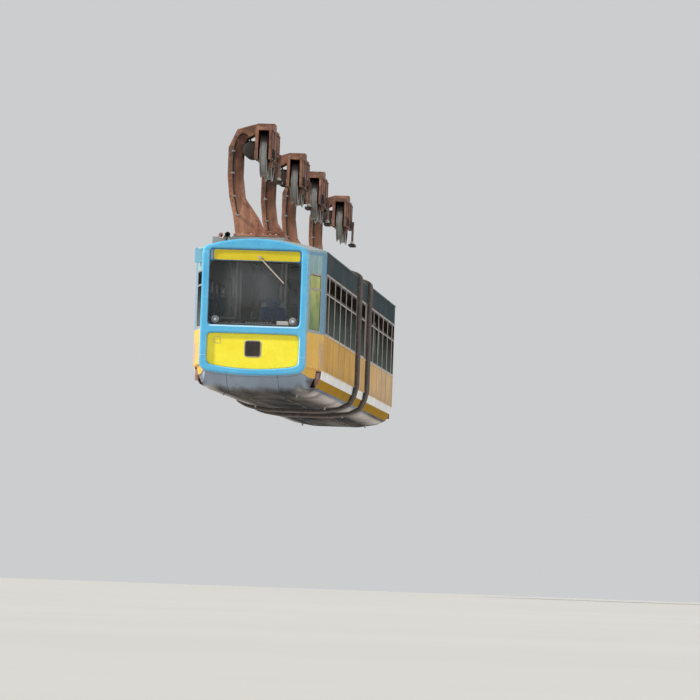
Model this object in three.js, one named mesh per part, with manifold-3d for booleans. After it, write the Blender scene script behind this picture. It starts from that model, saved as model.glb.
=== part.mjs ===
// Suspended articulated railcar that hangs below a single rail.
// Millimetres. +Z up, the car runs along Y with its cab at -Y.
// z = 0 is the running surface of the rail head, y = 0 the middle of the car, x = 0 the rail's centre line.
// +X is the side with windows only, -X the side with the doors and the hanger arms.
import * as THREE from 'three';
import { mergeVertices } from 'three/addons/utils/BufferGeometryUtils.js';
import Module from 'manifold-3d';

const wasm = await Module();
wasm.setup();

// Body
const HALF_LENGTH = 12030;
const HALF_WIDTH = 1100;
const WALL = 45;
const GAP = 0.3;
const ROOF_CROWN = -1050;
const ROOF_EDGE = -1265;
const FLOOR_TOP = -3228;
const SILL_LEDGE = -3244;
const CREASE_BOTTOM = -3385;
const GOLD_BOTTOM = -3525;
const BELLY = -3670;

// Sections along the car
const CAB_LENGTH = 1430;
const CAB_END = HALF_LENGTH - CAB_LENGTH;
const SECTION_END = 1880;
const MIDDLE_END = 1280;
const PIVOT_Y = 1580;
const BOGIE_Y = [10300, 2650];

// Nose
const NOSE_HALF_WIDTH = 868;
const RING_START = 11905;
const RING_HALF_WIDTH = 888;
const RING_CROWN = -1120;
const RING_BOTTOM = -3400;
const RING_DEPTH = 45;
const RECESS_HALF = 768;
// Slope round the recesses: y, how far it opens beyond their edge
const RECESS_SLOPE = [[12004, -1], [12006, 0], [12022, 9], [HALF_LENGTH, 24], [HALF_LENGTH + 20, 60]];
const HEADER_TOP = -1300;
const SCREEN_TOP = -1508;
const CROSSBAR_TOP = -2572;
const CROSSBAR_BOTTOM = -2705;
const PANEL_BOTTOM = -3297;

// Windows and doorways
const WINDOW_TOP = -1625;
const WINDOW_SILL = -2615;
const WINDOW_RADIUS = 55;
const GLASS = 8;
const DOOR_TOP = -1330;
const DOOR_HALF = 655;
const DOOR_CENTRES = [9000, 3700];
const LEAF_THICK = 35;
const LEAF_JAMB_GAP = 12;
const LEAF_MEETING_GAP = 10;
const LEAF_PIN_INSET = 12;

// Running gear
const WHEEL_R = 350;
const FLANGE_R = 385;
const WHEELBASE_HALF = 550;

const MATERIALS = {
  yellow: [0xd9b23c, 0.45, 0.1],
  lightBlue: [0xa9c6d8, 0.45, 0.1],
  skyBlue: [0x2f8fc4, 0.4, 0.1],
  glass: [0x26323a, 0.1, 0.0],
  rubber: [0x2c2320, 0.9, 0.0],
  rust: [0xa4552f, 0.75, 0.2],
  steel: [0x8b8d90, 0.45, 0.8],
  seat: [0x2d4f86, 0.85, 0.0],
  grey: [0x8f9294, 0.6, 0.1],
  lamp: [0xe8e6dc, 0.25, 0.1],
  redLamp: [0xa02a22, 0.3, 0.1],
};

const part = new THREE.Group();
part.name = 'monorail_car';

function toSolid(geometry) {
  const g = geometry.clone();
  g.deleteAttribute('normal');
  g.deleteAttribute('uv');
  const m = mergeVertices(g, 1e-4);
  return new wasm.Manifold(new wasm.Mesh({
    numProp: 3,
    vertProperties: new Float32Array(m.attributes.position.array),
    triVerts: new Uint32Array(m.index.array),
  }));
}

function place(name, solid, material) {
  const mesh = solid.getMesh();
  const g = new THREE.BufferGeometry();
  g.setAttribute('position', new THREE.BufferAttribute(new Float32Array(mesh.vertProperties), 3));
  g.setIndex(new THREE.BufferAttribute(new Uint32Array(mesh.triVerts), 1));
  const flat = g.toNonIndexed();
  flat.computeVertexNormals();
  const [color, roughness, metalness] = MATERIALS[material];
  const node = new THREE.Mesh(flat, new THREE.MeshStandardMaterial({ color, roughness, metalness }));
  node.name = name;
  part.add(node);
}

function box(x0, x1, y0, y1, z0, z1) {
  const g = new THREE.BoxGeometry(Math.abs(x1 - x0), Math.abs(y1 - y0), Math.abs(z1 - z0));
  g.translate((x0 + x1) / 2, (y0 + y1) / 2, (z0 + z1) / 2);
  return toSolid(g);
}

// A polygon of [x, z] points run along Y from y0 to y1.
function alongY(points, y0, y1) {
  return loft([[y0, points], [y1, points]]);
}

// Rings of [x, z] points, one at each y, joined by flat strips and capped.
function loft(rings) {
  const sorted = [...rings].sort((a, b) => a[0] - b[0]);
  const n = sorted[0][1].length;
  const area = THREE.ShapeUtils.area(sorted[0][1].map(([x, z]) => new THREE.Vector2(x, z)));
  const position = [];
  for (const [y, ring] of sorted) {
    const turned = area < 0 ? [...ring].reverse() : ring;
    for (const [x, z] of turned) position.push(x, y, z);
  }
  const index = [];
  for (let r = 0; r + 1 < sorted.length; r += 1) {
    for (let i = 0; i < n; i += 1) {
      const j = (i + 1) % n;
      const a = r * n + i;
      const b = r * n + j;
      const c = a + n;
      const d = b + n;
      index.push(a, c, b, b, c, d);
    }
  }
  const first = sorted[0][1];
  const cap = (area < 0 ? [...first].reverse() : first).map(([x, z]) => new THREE.Vector2(x, z));
  for (const [i, j, k] of THREE.ShapeUtils.triangulateShape(cap, [])) {
    index.push(i, j, k);
    const top = (sorted.length - 1) * n;
    index.push(top + i, top + k, top + j);
  }
  const g = new THREE.BufferGeometry();
  g.setAttribute('position', new THREE.Float32BufferAttribute(position, 3));
  g.setIndex(index);
  return toSolid(g);
}

// A polygon of [x, y] points raised from z0 to z1.
function upZ(points, z0, z1) {
  const shape = new THREE.Shape(points.map(([x, y]) => new THREE.Vector2(x, y)));
  const g = new THREE.ExtrudeGeometry(shape, { depth: z1 - z0, bevelEnabled: false });
  g.translate(0, 0, z0);
  return toSolid(g);
}

// A round bar between x0 and x1 or z0 and z1.
function barX(r, x0, x1, y, z, sides = 20) {
  const g = new THREE.CylinderGeometry(r, r, x1 - x0, sides);
  g.rotateZ(-Math.PI / 2);
  g.translate((x0 + x1) / 2, y, z);
  return toSolid(g);
}

function barY(r, y0, y1, x, z, sides = 20) {
  const g = new THREE.CylinderGeometry(r, r, y1 - y0, sides);
  g.translate(x, (y0 + y1) / 2, z);
  return toSolid(g);
}

function barZ(r, z0, z1, x, y, sides = 20) {
  const g = new THREE.CylinderGeometry(r, r, z1 - z0, sides);
  g.rotateX(Math.PI / 2);
  g.translate(x, y, (z0 + z1) / 2);
  return toSolid(g);
}

// Points of a rounded rectangle, [u, v].
function roundedRect(u0, u1, v0, v1, r, steps = 3) {
  const corners = [[u1 - r, v1 - r, 0], [u0 + r, v1 - r, 1], [u0 + r, v0 + r, 2], [u1 - r, v0 + r, 3]];
  const points = [];
  for (const [cu, cv, quarter] of corners) {
    for (let i = 0; i <= steps; i += 1) {
      const a = (quarter + i / steps) * Math.PI / 2;
      points.push([cu + r * Math.cos(a), cv + r * Math.sin(a)]);
    }
  }
  return points;
}

// A rounded window through a wall whose face looks along X.
function windowX(x0, x1, y0, y1, z0, z1, r = WINDOW_RADIUS) {
  const shape = new THREE.Shape(roundedRect(y0, y1, z0, z1, r).map(([y, z]) => new THREE.Vector2(y, z)));
  const g = new THREE.ExtrudeGeometry(shape, { depth: x1 - x0, bevelEnabled: false });
  g.applyMatrix4(new THREE.Matrix4().set(0, 0, 1, x0, 1, 0, 0, 0, 0, 1, 0, 0, 0, 0, 0, 1));
  return toSolid(g);
}

function joinAll(solids) {
  return solids.reduce((a, b) => a.add(b));
}

function mirrored(points) {
  const other = points.filter(([x]) => x > 0).map(([x, z]) => [-x, z]).reverse();
  return [...points, ...other];
}

// Right half of a closed outline with a crowned top, rounded corners and a sagging bottom edge: x, z
function outlineHalf({ w, top, rise, rt, bottom, sag, rb }) {
  const steps = 4;
  const half = [];
  const lean = Math.atan((2 * rise) / (w - rt));
  const topCentre = top - rise - rt;
  const topEnd = [w - rt + rt * Math.sin(lean), topCentre + rt * Math.cos(lean)];
  for (let i = 0; i <= steps; i += 1) {
    const t = i / steps;
    half.push([t * topEnd[0], top - (top - topEnd[1]) * t * t]);
  }
  for (let i = 1; i <= steps; i += 1) {
    const a = (1 - i / steps) * (Math.PI / 2 - lean);
    half.push([w - rt + rt * Math.cos(a), topCentre + rt * Math.sin(a)]);
  }
  const tilt = Math.atan((2 * sag) / (w - rb));
  const bottomCentre = bottom + sag + rb;
  for (let i = 0; i <= steps; i += 1) {
    const a = (i / steps) * (Math.PI / 2 - tilt);
    half.push([w - rb + rb * Math.cos(a), bottomCentre - rb * Math.sin(a)]);
  }
  const end = half[half.length - 1];
  for (let i = 1; i <= steps; i += 1) {
    const t = 1 - i / steps;
    half.push([t * end[0], bottom + (end[1] - bottom) * t * t]);
  }
  return half;
}

// Cross-sections, right half from the top down: x, z
const BODY = { w: HALF_WIDTH, top: ROOF_CROWN, rise: 165, rt: 50, bottom: RING_BOTTOM, sag: 20, rb: 60 };
const ROOF_HALF = outlineHalf(BODY).slice(0, 9);
const UNDER_HALF = [
  [HALF_WIDTH, FLOOR_TOP], [HALF_WIDTH, SILL_LEDGE], [1078, -3252], [1060, CREASE_BOTTOM],
  [1044, -3392], [985, GOLD_BOTTOM], [820, -3612], [450, BELLY],
];

// Underframe outlines at the nose, from the chin back: y, then x, z
const CHIN = [
  [11984, [[838, FLOOR_TOP], [838, SILL_LEDGE], [826, -3252], [812, -3318],
    [804, -3324], [780, -3345], [640, -3374], [350, -3397]]],
  [11650, [[898, FLOOR_TOP], [898, SILL_LEDGE], [880, -3252], [862, -3362],
    [850, -3370], [818, -3450], [690, -3516], [375, -3562]]],
  [11300, [[952, FLOOR_TOP], [952, SILL_LEDGE], [932, -3252], [914, CREASE_BOTTOM],
    [900, -3392], [858, -3508], [720, -3598], [400, -3658]]],
];

function roofRing() {
  return mirrored(ROOF_HALF);
}

// Moves each point of a half outline out along its own normal.
function offsetHalf(points, d) {
  return points.map(([x, z], i) => {
    const [ax, az] = points[Math.max(i - 1, 0)];
    const [bx, bz] = points[Math.min(i + 1, points.length - 1)];
    const length = Math.hypot(bx - ax, bz - az);
    const nx = x === 0 ? 0 : (az - bz) / length;
    const nz = x === 0 ? Math.sign(z - ROOF_EDGE) : (bx - ax) / length;
    return [x + nx * d, z + nz * d];
  });
}

// s is -1 for the front section and +1 for the rear one.
function spanY(s, far, near) {
  return s < 0 ? [-far, -near] : [near, far];
}

function boxS(s, x0, x1, far, near, z0, z1) {
  const [y0, y1] = spanY(s, far, near);
  return box(x0, x1, y0, y1, z0, z1);
}

// Half width of the tapering nose at a distance from mid-car
const NOSE_TAPER = (HALF_WIDTH - NOSE_HALF_WIDTH) / (RING_START - CAB_END);
function noseHalf(y) {
  return HALF_WIDTH - (y - CAB_END) * NOSE_TAPER;
}

// Skin of the tapering nose behind its ring, shrunk by an inset all round
function noseBody(s, inset, fromY, toY) {
  const at = (y) => {
    const t = (y - CAB_END) / (RING_START - CAB_END);
    return [s * y, mirrored(outlineHalf({
      w: noseHalf(y) - inset * 1.014,
      top: ROOF_CROWN - 82 * t - inset,
      rise: 165 - 45 * t,
      rt: 50 + 60 * t - inset * 0.4,
      bottom: RING_BOTTOM + 12 * t + inset,
      sag: 20 + 30 * t,
      rb: 60 + 80 * t - inset * 0.4,
    }))];
  };
  return loft([at(toY), at(fromY)]);
}

// The ring stands proud of the nose and is rounded off towards its face.
function noseRing(s) {
  const base = { w: RING_HALF_WIDTH, top: RING_CROWN, rise: 118, rt: 125, bottom: RING_BOTTOM, sag: 50, rb: 150 };
  const at = (y, d) => [s * y, mirrored(outlineHalf({
    ...base, w: base.w - d, top: base.top - d, rt: base.rt - d * 0.7, bottom: base.bottom + d, rb: base.rb - d * 0.7,
  }))];
  return loft([at(RING_START - 3, 3), at(RING_START + 10, 0), at(12005, 0), at(12022, 10), at(HALF_LENGTH, 30)]);
}

// Underframe with its floor, stepped sills and belly
function underframe(s) {
  const main = alongY(mirrored(UNDER_HALF), ...spanY(s, CAB_END, SECTION_END));
  const rings = CHIN.map(([y, half]) => [s * y, mirrored(half)]);
  const nose = loft([[s * CAB_END, mirrored(UNDER_HALF)], ...rings]);
  const tongue = boxS(s, -170, 170, SECTION_END + 200, PIVOT_Y, -3520, -3460);
  const eye = barZ(170, -3520, -3460, 0, s * PIVOT_Y, 24);
  const boss = barZ(70, -3470, -3454.6, 0, s * PIVOT_Y, 20);
  let frame = joinAll([main, nose, tongue, eye, boss]);
  for (const side of [-1, 1]) {
    const [x0, x1] = side > 0 ? [905, 1150] : [-1150, -905];
    frame = frame.subtract(boxS(s, x0, x1, 10960, 10640, -3530, -3262));
    const arm = boxS(s, side * 880, side * 985, 10850, 10750, -3500, -3300);
    const head = barZ(62, -3480, -3290, side * 985, s * 10800, 16);
    frame = frame.add(arm).add(head);
  }
  return frame;
}

// Low ventilator with sloping sides
function ventilator(s, y, halfX, halfY) {
  const low = [[-halfX, -1110], [halfX, -1110], [halfX, -1030], [halfX - 60, -985], [60 - halfX, -985], [-halfX, -1030]];
  return alongY(low, ...spanY(s, y + halfY, y - halfY));
}

function roof(s) {
  const slab = alongY(roofRing(), ...spanY(s, CAB_END - GAP, SECTION_END));
  const portal = boxS(s, -1090, 1090, SECTION_END + 40, SECTION_END, ROOF_EDGE, FLOOR_TOP + GAP);
  const gangway = boxS(s, -560, 560, SECTION_END + 60, SECTION_END - 20, ROOF_EDGE - 60, FLOOR_TOP - 20);
  const pads = BOGIE_Y.map((y) => boxS(s, -520, 360, y + 298, y - 298, -1130, -1020));
  const vents = [8350, 6450, 4550].map((y) => ventilator(s, y, 330, 420));
  const gutters = [-1, 1].map((side) => boxS(s, side * 1092, side * 1112, CAB_END - GAP, SECTION_END + 4, -1262, -1238));
  return joinAll([slab, portal.subtract(gangway), ...pads, ...vents, ...gutters]);
}

// Side windows: far, near
const WINDOW_SIDE_WINDOWS = [
  [10500, 9790],
  [9670, 8230],
  [8110, 6670],
  [6550, 5110],
  [4990, 3550],
  [3430, 1990],
];
const DOOR_SIDE_WINDOWS = [
  [10500, 9760],
  [8230, 6930],
  [6780, 5920],
  [5770, 4470],
  [2940, 1990],
];
const MIDDLE_WINDOWS = [
  [720, -720],
];

function cutWindows(wall, windows, s, x0, x1) {
  let left = wall;
  for (const [f, n] of windows) {
    const [y0, y1] = spanY(s, f, n);
    left = left.subtract(windowX(x0, x1, y0, y1, WINDOW_SILL, WINDOW_TOP));
  }
  return left;
}

// Side wall from the cab corner to the gangway frame
function windowSideWall(s) {
  const far = CAB_END - GAP;
  const near = SECTION_END + 40 + GAP;
  const wall = boxS(s, HALF_WIDTH - WALL, HALF_WIDTH, far, near, FLOOR_TOP + GAP, ROOF_EDGE - GAP);
  return cutWindows(wall, WINDOW_SIDE_WINDOWS, s, HALF_WIDTH - 90, HALF_WIDTH + 40);
}

function doorSideWall(s) {
  const far = CAB_END - GAP;
  const near = SECTION_END + 40 + GAP;
  let wall = boxS(s, -HALF_WIDTH, -HALF_WIDTH + WALL, far, near, FLOOR_TOP + GAP, ROOF_EDGE - GAP);
  for (const c of DOOR_CENTRES) {
    wall = wall.subtract(boxS(s, -1200, -1000, c + DOOR_HALF, c - DOOR_HALF, FLOOR_TOP - 20, DOOR_TOP));
  }
  return cutWindows(wall, DOOR_SIDE_WINDOWS, s, -1200, -1000);
}

// Long pane behind the pillars
function pane(side, yFar, yNear, s) {
  const outer = HALF_WIDTH - WALL - GAP;
  const inner = outer - GLASS;
  const [x0, x1] = side > 0 ? [inner, outer] : [-outer, -inner];
  return boxS(s, x0, x1, yFar, yNear, WINDOW_SILL - 40, WINDOW_TOP + 40);
}

// Hollow nose: front ring, crossbar, recessed header and lower panel, window openings
function noseShell(s) {
  const face = HALF_LENGTH - RING_DEPTH;
  const body = noseBody(s, 0, RING_START + 5, CAB_END);
  const inside = noseBody(s, WALL, face - WALL, CAB_END - 50);
  const below = boxS(s, -1300, 1300, HALF_LENGTH - 45, CAB_END - 100, RING_BOTTOM - 100, FLOOR_TOP + GAP);
  let shell = body.add(noseRing(s)).subtract(inside).subtract(below);
  const cut = (points, depth) => {
    shell = shell.subtract(alongY(points, ...spanY(s, HALF_LENGTH + 20, HALF_LENGTH - depth)));
  };
  const lower = { w: RECESS_HALF, top: CROSSBAR_BOTTOM, rise: 4, rt: 70, bottom: PANEL_BOTTOM, sag: 55, rb: 110 };
  cut(roundedRect(-RECESS_HALF, RECESS_HALF, CROSSBAR_TOP, HEADER_TOP, 60), RING_DEPTH);
  cut(mirrored(outlineHalf(lower)), RING_DEPTH + 8);
  cut(roundedRect(-750, 750, CROSSBAR_TOP + 8, SCREEN_TOP, 75), 200);
  const upperAt = (d) => roundedRect(-RECESS_HALF - d, RECESS_HALF + d, CROSSBAR_TOP - d, HEADER_TOP + d, 60 + d);
  const lowerAt = (d) => mirrored(outlineHalf({
    ...lower, w: RECESS_HALF + d, top: lower.top + d, rt: lower.rt + d, bottom: lower.bottom - d, rb: lower.rb + d,
  }));
  for (const at of [upperAt, lowerAt]) {
    const rings = RECESS_SLOPE.map(([y, d]) => [s * y, at(d)]);
    shell = shell.subtract(loft(rings));
  }
  const plate = alongY(roundedRect(-136, 136, -3094, -2822, 45), ...spanY(s, face + 2, face - 20));
  shell = shell.add(plate);
  const [y0, y1] = spanY(s, 11700, 10960);
  shell = shell.subtract(windowX(-1200, 1200, y0, y1, -2600, -1660, 45));
  if (s > 0) {
    return shell;
  }
  const camera = box(-1062, -930, -11480, -11240, -1520, -1290);
  const hornBox = box(-790, -560, -11330, -11090, -1240, -1075);
  const horn = barY(46, -11400, -11150, -490, -1120, 14);
  const extras = joinAll([camera, hornBox, horn, box(-580, -480, -11260, -11190, -1180, -1100)]);
  return shell.add(extras.subtract(noseBody(s, 20, face - WALL, CAB_END - 50)));
}

// Windscreen and the two side panes as one bent band behind the shell
function noseGlass(s) {
  const faceY = HALF_LENGTH - RING_DEPTH - WALL - GAP - 0.2;
  const halfAt = (y) => noseHalf(y) - WALL * 1.014 - 0.6;
  const far = 10860;
  const t = GLASS + 2;
  const line = [[halfAt(far), far], [halfAt(faceY), faceY], [-halfAt(faceY), faceY], [-halfAt(far), far]];
  const back = [
    [-halfAt(far) + t, far], [-halfAt(faceY - t) + t, faceY - t],
    [halfAt(faceY - t) - t, faceY - t], [halfAt(far) - t, far],
  ];
  const points = [...line, ...back].map(([x, y]) => [x, s * y]);
  return upZ(points, -2640, -1450);
}

function bulkhead(s) {
  const plate = boxS(s, -1054.7, 1054.7, 10595, 10560, FLOOR_TOP + GAP, ROOF_EDGE - GAP);
  const doorway = boxS(s, -330, 330, 10620, 10540, FLOOR_TOP - 20, -1400);
  const left = boxS(s, -960, -420, 10620, 10540, -2400, -1450);
  const right = boxS(s, 420, 960, 10620, 10540, -2400, -1450);
  return plate.subtract(doorway).subtract(left).subtract(right);
}

// Rows of seat pairs on one plinth: each row is the y of a seat and the side of its back
function seatRow(side, rows, s) {
  const [x0, x1] = side > 0 ? [190, 1030] : [-1030, -190];
  const [p0, p1] = side > 0 ? [500, 900] : [-900, -500];
  const far = Math.max(...rows.map(([y]) => y)) + 250;
  const near = Math.min(...rows.map(([y]) => y)) - 250;
  const pieces = [boxS(s, p0, p1, far, near, FLOOR_TOP + GAP, -3120)];
  for (const [y, back] of rows) {
    const b = y + back * 205;
    const seat = [[y + back * 230, -2790], [y + back * 230, -2870], [y - back * 235, -2870], [y - back * 245, -2800]];
    const rest = [[b + back * 5, -2850], [b + back * 75, -2330], [b + back * 30, -2310], [b - back * 30, -2800]];
    for (const ring of [seat, rest]) {
      const shape = new THREE.Shape(ring.map(([v, z]) => new THREE.Vector2(s * v, z)));
      const g = new THREE.ExtrudeGeometry(shape, { depth: x1 - x0, bevelEnabled: false });
      g.applyMatrix4(new THREE.Matrix4().set(0, 0, 1, x0, 1, 0, 0, 0, 0, 1, 0, 0, 0, 0, 0, 1));
      pieces.push(toSolid(g));
    }
    pieces.push(boxS(s, p0 + 100, p1 - 100, y + 100, y - 100, -3150, -2830));
  }
  return joinAll(pieces);
}

// y, back at +1 far or -1 near
const WINDOW_SIDE_ROWS = [
  [10080, 1], [9080, -1], [8560, 1], [7400, -1], [6880, 1], [5720, -1], [5200, 1], [4040, -1], [3520, 1], [2780, -1],
];
const DOOR_SIDE_ROWS = [
  [7900, 1], [6920, -1], [6380, 1], [4900, -1],
];

// Door leaf, hinged at its jamb
function doorLeaf(s, centre, side) {
  const jamb = s * centre + side * (DOOR_HALF - LEAF_JAMB_GAP);
  const meeting = s * centre + side * (LEAF_MEETING_GAP / 2);
  const y0 = Math.min(jamb, meeting);
  const y1 = Math.max(jamb, meeting);
  const bottom = FLOOR_TOP + 8;
  const top = DOOR_TOP - 8;
  const leaf = box(-HALF_WIDTH, -HALF_WIDTH + LEAF_THICK, y0, y1, bottom, top);
  const glass = windowX(-1200, -1000, y0 + 80, y1 - 80, -2980, -1430, 60);
  const pinY = jamb - side * LEAF_PIN_INSET;
  const pin = barZ(8, FLOOR_TOP + 0.6, DOOR_TOP - 0.6, -HALF_WIDTH + LEAF_PIN_INSET, pinY, 12);
  return leaf.subtract(glass).add(pin);
}

// Hook profile of the hanger: up from the roof, round the rail, over to the wheels
const HANGER = [
  [-470, -1008], [-520, -680], [-600, -350], [-640, 0], [-640, 480], [-500, 790], [-140, 900],
  [130, 900], [130, 745], [-140, 745], [-330, 640], [-400, 440], [-400, 0], [-350, -350],
  [-116, -680], [30, -960], [110, -1008],
];

function bogieFrame(y) {
  const arm = alongY(HANGER, y - 230, y + 230);
  const sole = box(-500, 250, y - 280, y + 280, -1012, -976);
  const top = box(-130, 130, y - 930, y + 930, 745, 805);
  const left = box(-130, -90, y - 930, y + 930, 260, 760);
  const right = box(90, 130, y - 930, y + 930, 260, 760);
  const gearbox = box(-100, 100, y - 150, y + 150, 180, 760);
  const motor = barY(118, y - 340, y + 340, -262, 440, 20);
  const bracket = box(-270, -120, y - 120, y + 120, 380, 500);
  const pivot = barZ(200, -1019.4, -1000, 0, y, 24);
  const damper = barX(36, -20, 330, y + 180, -925, 14).add(box(250, 330, y + 140, y + 220, -985, -900))
    .add(box(200, 340, y + 130, y + 230, -1012, -970));
  const collector = joinAll([
    box(120, 240, y - 50, y + 50, 330, 390),
    box(196, 236, y - 35, y + 35, -60, 390),
    box(160, 272, y - 170, y + 170, -96, -58),
  ]);
  return joinAll([arm, sole, top, left, right, gearbox, motor, bracket, pivot, damper, collector]);
}

// Wheel with a flange each side of its tread, on its axle: axial x, radius
const WHEEL_PROFILE = [
  [-89.4, 0], [-89.4, 50], [-40, 88], [-30, 285], [-62, 312], [-62, FLANGE_R - 8], [-50, FLANGE_R], [-34, WHEEL_R],
  [34, WHEEL_R], [50, FLANGE_R], [62, FLANGE_R - 8], [62, 312], [30, 285], [40, 88], [89.4, 50], [89.4, 0],
];

function wheel(y) {
  const points = WHEEL_PROFILE.map(([x, r]) => new THREE.Vector2(r, x));
  const g = new THREE.LatheGeometry(points, 24);
  g.rotateZ(-Math.PI / 2);
  g.translate(0, y, WHEEL_R);
  return toSolid(g);
}

// Bellows: rounded folds all round the gap
const BODY_HALF = [...ROOF_HALF, ...UNDER_HALF.slice(2)];

// part of the pitch, height
const FOLD = [[0, 12], [0.2, 52], [0.5, 66], [0.8, 52]];

function bellows(s) {
  const start = MIDDLE_END + GAP;
  const end = SECTION_END - GAP;
  const count = 3;
  const pitch = (end - start) / count;
  const rings = [];
  for (let i = 0; i < count; i += 1) {
    for (const [share, height] of FOLD) {
      rings.push([s * (start + (i + share) * pitch), mirrored(offsetHalf(BODY_HALF, height))]);
    }
  }
  rings.push([s * end, mirrored(offsetHalf(BODY_HALF, FOLD[0][1]))]);
  const inner = alongY(mirrored(offsetHalf(BODY_HALF, -45)), ...spanY(s, SECTION_END + 50, MIDDLE_END - 50));
  return loft(rings).subtract(inner);
}

function section(s, end) {
  place(`${end}_underframe`, underframe(s), 'yellow');
  place(`${end}_roof`, roof(s), 'lightBlue');
  place(`${end}_wall_window_side`, windowSideWall(s), 'yellow');
  place(`${end}_wall_door_side`, doorSideWall(s), 'yellow');
  place(`${end}_panes_window_side`, pane(1, 10556, SECTION_END + 60, s), 'glass');
  place(`${end}_panes_door_side`, pane(-1, 8290, 4410, s), 'glass');
  place(`${end}_pane_near_cab`, pane(-1, 10556, 9720, s), 'glass');
  place(`${end}_pane_near_gangway`, pane(-1, 2980, SECTION_END + 60, s), 'glass');
  place(`${end}_nose_shell`, noseShell(s), 'skyBlue');
  place(`${end}_nose_glass`, noseGlass(s), 'glass');
  place(`${end}_seats_window_side`, seatRow(1, WINDOW_SIDE_ROWS, s), 'seat');
  place(`${end}_seats_door_side`, seatRow(-1, DOOR_SIDE_ROWS, s), 'seat');
  DOOR_CENTRES.forEach((c, i) => {
    place(`${end}_door_${i + 1}_leaf_a`, doorLeaf(s, c, -1), 'yellow');
    place(`${end}_door_${i + 1}_leaf_b`, doorLeaf(s, c, 1), 'yellow');
  });
}

section(-1, 'front');
section(1, 'rear');

// Cab fittings of the front section
place('cab_bulkhead', bulkhead(-1), 'grey');
const deskTop = box(-790, 790, -11915, -11500, -2640, -2560);
const deskBody = box(-740, 740, -11880, -11600, FLOOR_TOP + GAP, -2600);
place('cab_desk', deskTop.add(deskBody), 'grey');
const stool = joinAll([
  barZ(60, FLOOR_TOP + GAP, -2800, 250, -11150, 16),
  box(20, 480, -11380, -10930, -2820, -2730),
  box(20, 480, -11000, -10930, -2820, -2150),
]);
place('driver_seat', stool, 'seat');

// Middle section
const midUnder = alongY(mirrored(UNDER_HALF), -MIDDLE_END, MIDDLE_END);
const midTongues = [-1, 1].map((s) => {
  const bar = boxS(s, -170, 170, PIVOT_Y, MIDDLE_END - 100, -3454, -3394);
  const step = boxS(s, -420, 420, PIVOT_Y + 250, MIDDLE_END - 30, -3222, -3210);
  const support = boxS(s, -420, 420, MIDDLE_END, MIDDLE_END - 30, -3300, -3210);
  return joinAll([bar, barZ(170, -3454, -3394, 0, s * PIVOT_Y, 24), step, support]);
});
place('middle_underframe', joinAll([midUnder, ...midTongues]), 'yellow');

const midPortals = [-1, 1].map((s) => {
  const plate = boxS(s, -1090, 1090, MIDDLE_END, MIDDLE_END - 40, ROOF_EDGE, FLOOR_TOP + GAP);
  return plate.subtract(boxS(s, -560, 560, MIDDLE_END + 20, MIDDLE_END - 60, ROOF_EDGE - 60, FLOOR_TOP - 20));
});
place('middle_roof', joinAll([alongY(roofRing(), -MIDDLE_END, MIDDLE_END), ...midPortals]), 'lightBlue');
for (const [side, label] of [[1, 'window_side'], [-1, 'door_side']]) {
  const x0 = side > 0 ? HALF_WIDTH - WALL : -HALF_WIDTH;
  const near = MIDDLE_END - 40 - GAP;
  const slab = box(x0, x0 + WALL, -near, near, FLOOR_TOP + GAP, ROOF_EDGE - GAP);
  const wall = cutWindows(slab, MIDDLE_WINDOWS, 1, x0 - 40, x0 + 90);
  place(`middle_wall_${label}`, wall, 'yellow');
  place(`middle_panes_${label}`, pane(side, 780, -780, 1), 'glass');
}
place('front_bellows', bellows(-1), 'rubber');
place('rear_bellows', bellows(1), 'rubber');

// Running gear
const BOGIES = [-BOGIE_Y[0], -BOGIE_Y[1], BOGIE_Y[1], BOGIE_Y[0]];
BOGIES.forEach((y, i) => {
  place(`bogie_${i + 1}_frame`, bogieFrame(y), 'rust');
  place(`bogie_${i + 1}_front_wheel`, wheel(y - WHEELBASE_HALF), 'steel');
  place(`bogie_${i + 1}_rear_wheel`, wheel(y + WHEELBASE_HALF), 'steel');
});

// Lamps behind the windscreen's lower corners, joined by the bar that stands on the desk
function lampBar(s) {
  const discs = [-650, 650].map((x) => barY(74, ...spanY(s, 11926, 11880), x, -2480, 24));
  const bar = boxS(s, -650, 650, 11902, 11892, -2556, -2532);
  const feet = [-650, 650].map((x) => boxS(s, x - 25, x + 25, 11902, 11892, -2559.7, -2480));
  return joinAll([...discs, bar, ...feet]);
}
place('headlamps', lampBar(-1), 'lamp');
place('tail_lamps', lampBar(1), 'redLamp');
const rearShelf = box(-790, 790, 11700, 11915, -2600, -2560).add(box(-740, 740, 11720, 11780, FLOOR_TOP + GAP, -2570));
place('rear_shelf', rearShelf, 'grey');

// Wiper parked across the windscreen from its pivot on the header: x, z
const WIPER_PIVOT = [63, -1430];
const WIPER_TIP = [478, -1850];
const wiperAngle = Math.atan2(WIPER_TIP[1] - WIPER_PIVOT[1], WIPER_TIP[0] - WIPER_PIVOT[0]);
const wiperLength = Math.hypot(WIPER_TIP[0] - WIPER_PIVOT[0], WIPER_TIP[1] - WIPER_PIVOT[1]);
function wiperBar(x0, x1, y0, y1, z0, z1) {
  const g = new THREE.BoxGeometry(x1 - x0, y1 - y0, z1 - z0);
  g.translate((x0 + x1) / 2, (y0 + y1) / 2, (z0 + z1) / 2);
  g.rotateY(-wiperAngle);
  g.translate(WIPER_PIVOT[0], 0, WIPER_PIVOT[1]);
  return toSolid(g);
}
const wiperHub = barY(26, -12014, -11985.4, WIPER_PIVOT[0], WIPER_PIVOT[1], 16);
const wiperArm = wiperBar(0, wiperLength, -12010, -12001, -11, 11);
const wiperBlade = wiperBar(wiperLength * 0.42, wiperLength * 1.02, -12001.5, -11985.5, -5, 5);
place('wiper', joinAll([wiperHub, wiperArm, wiperBlade]), 'grey');

export default part;
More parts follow.
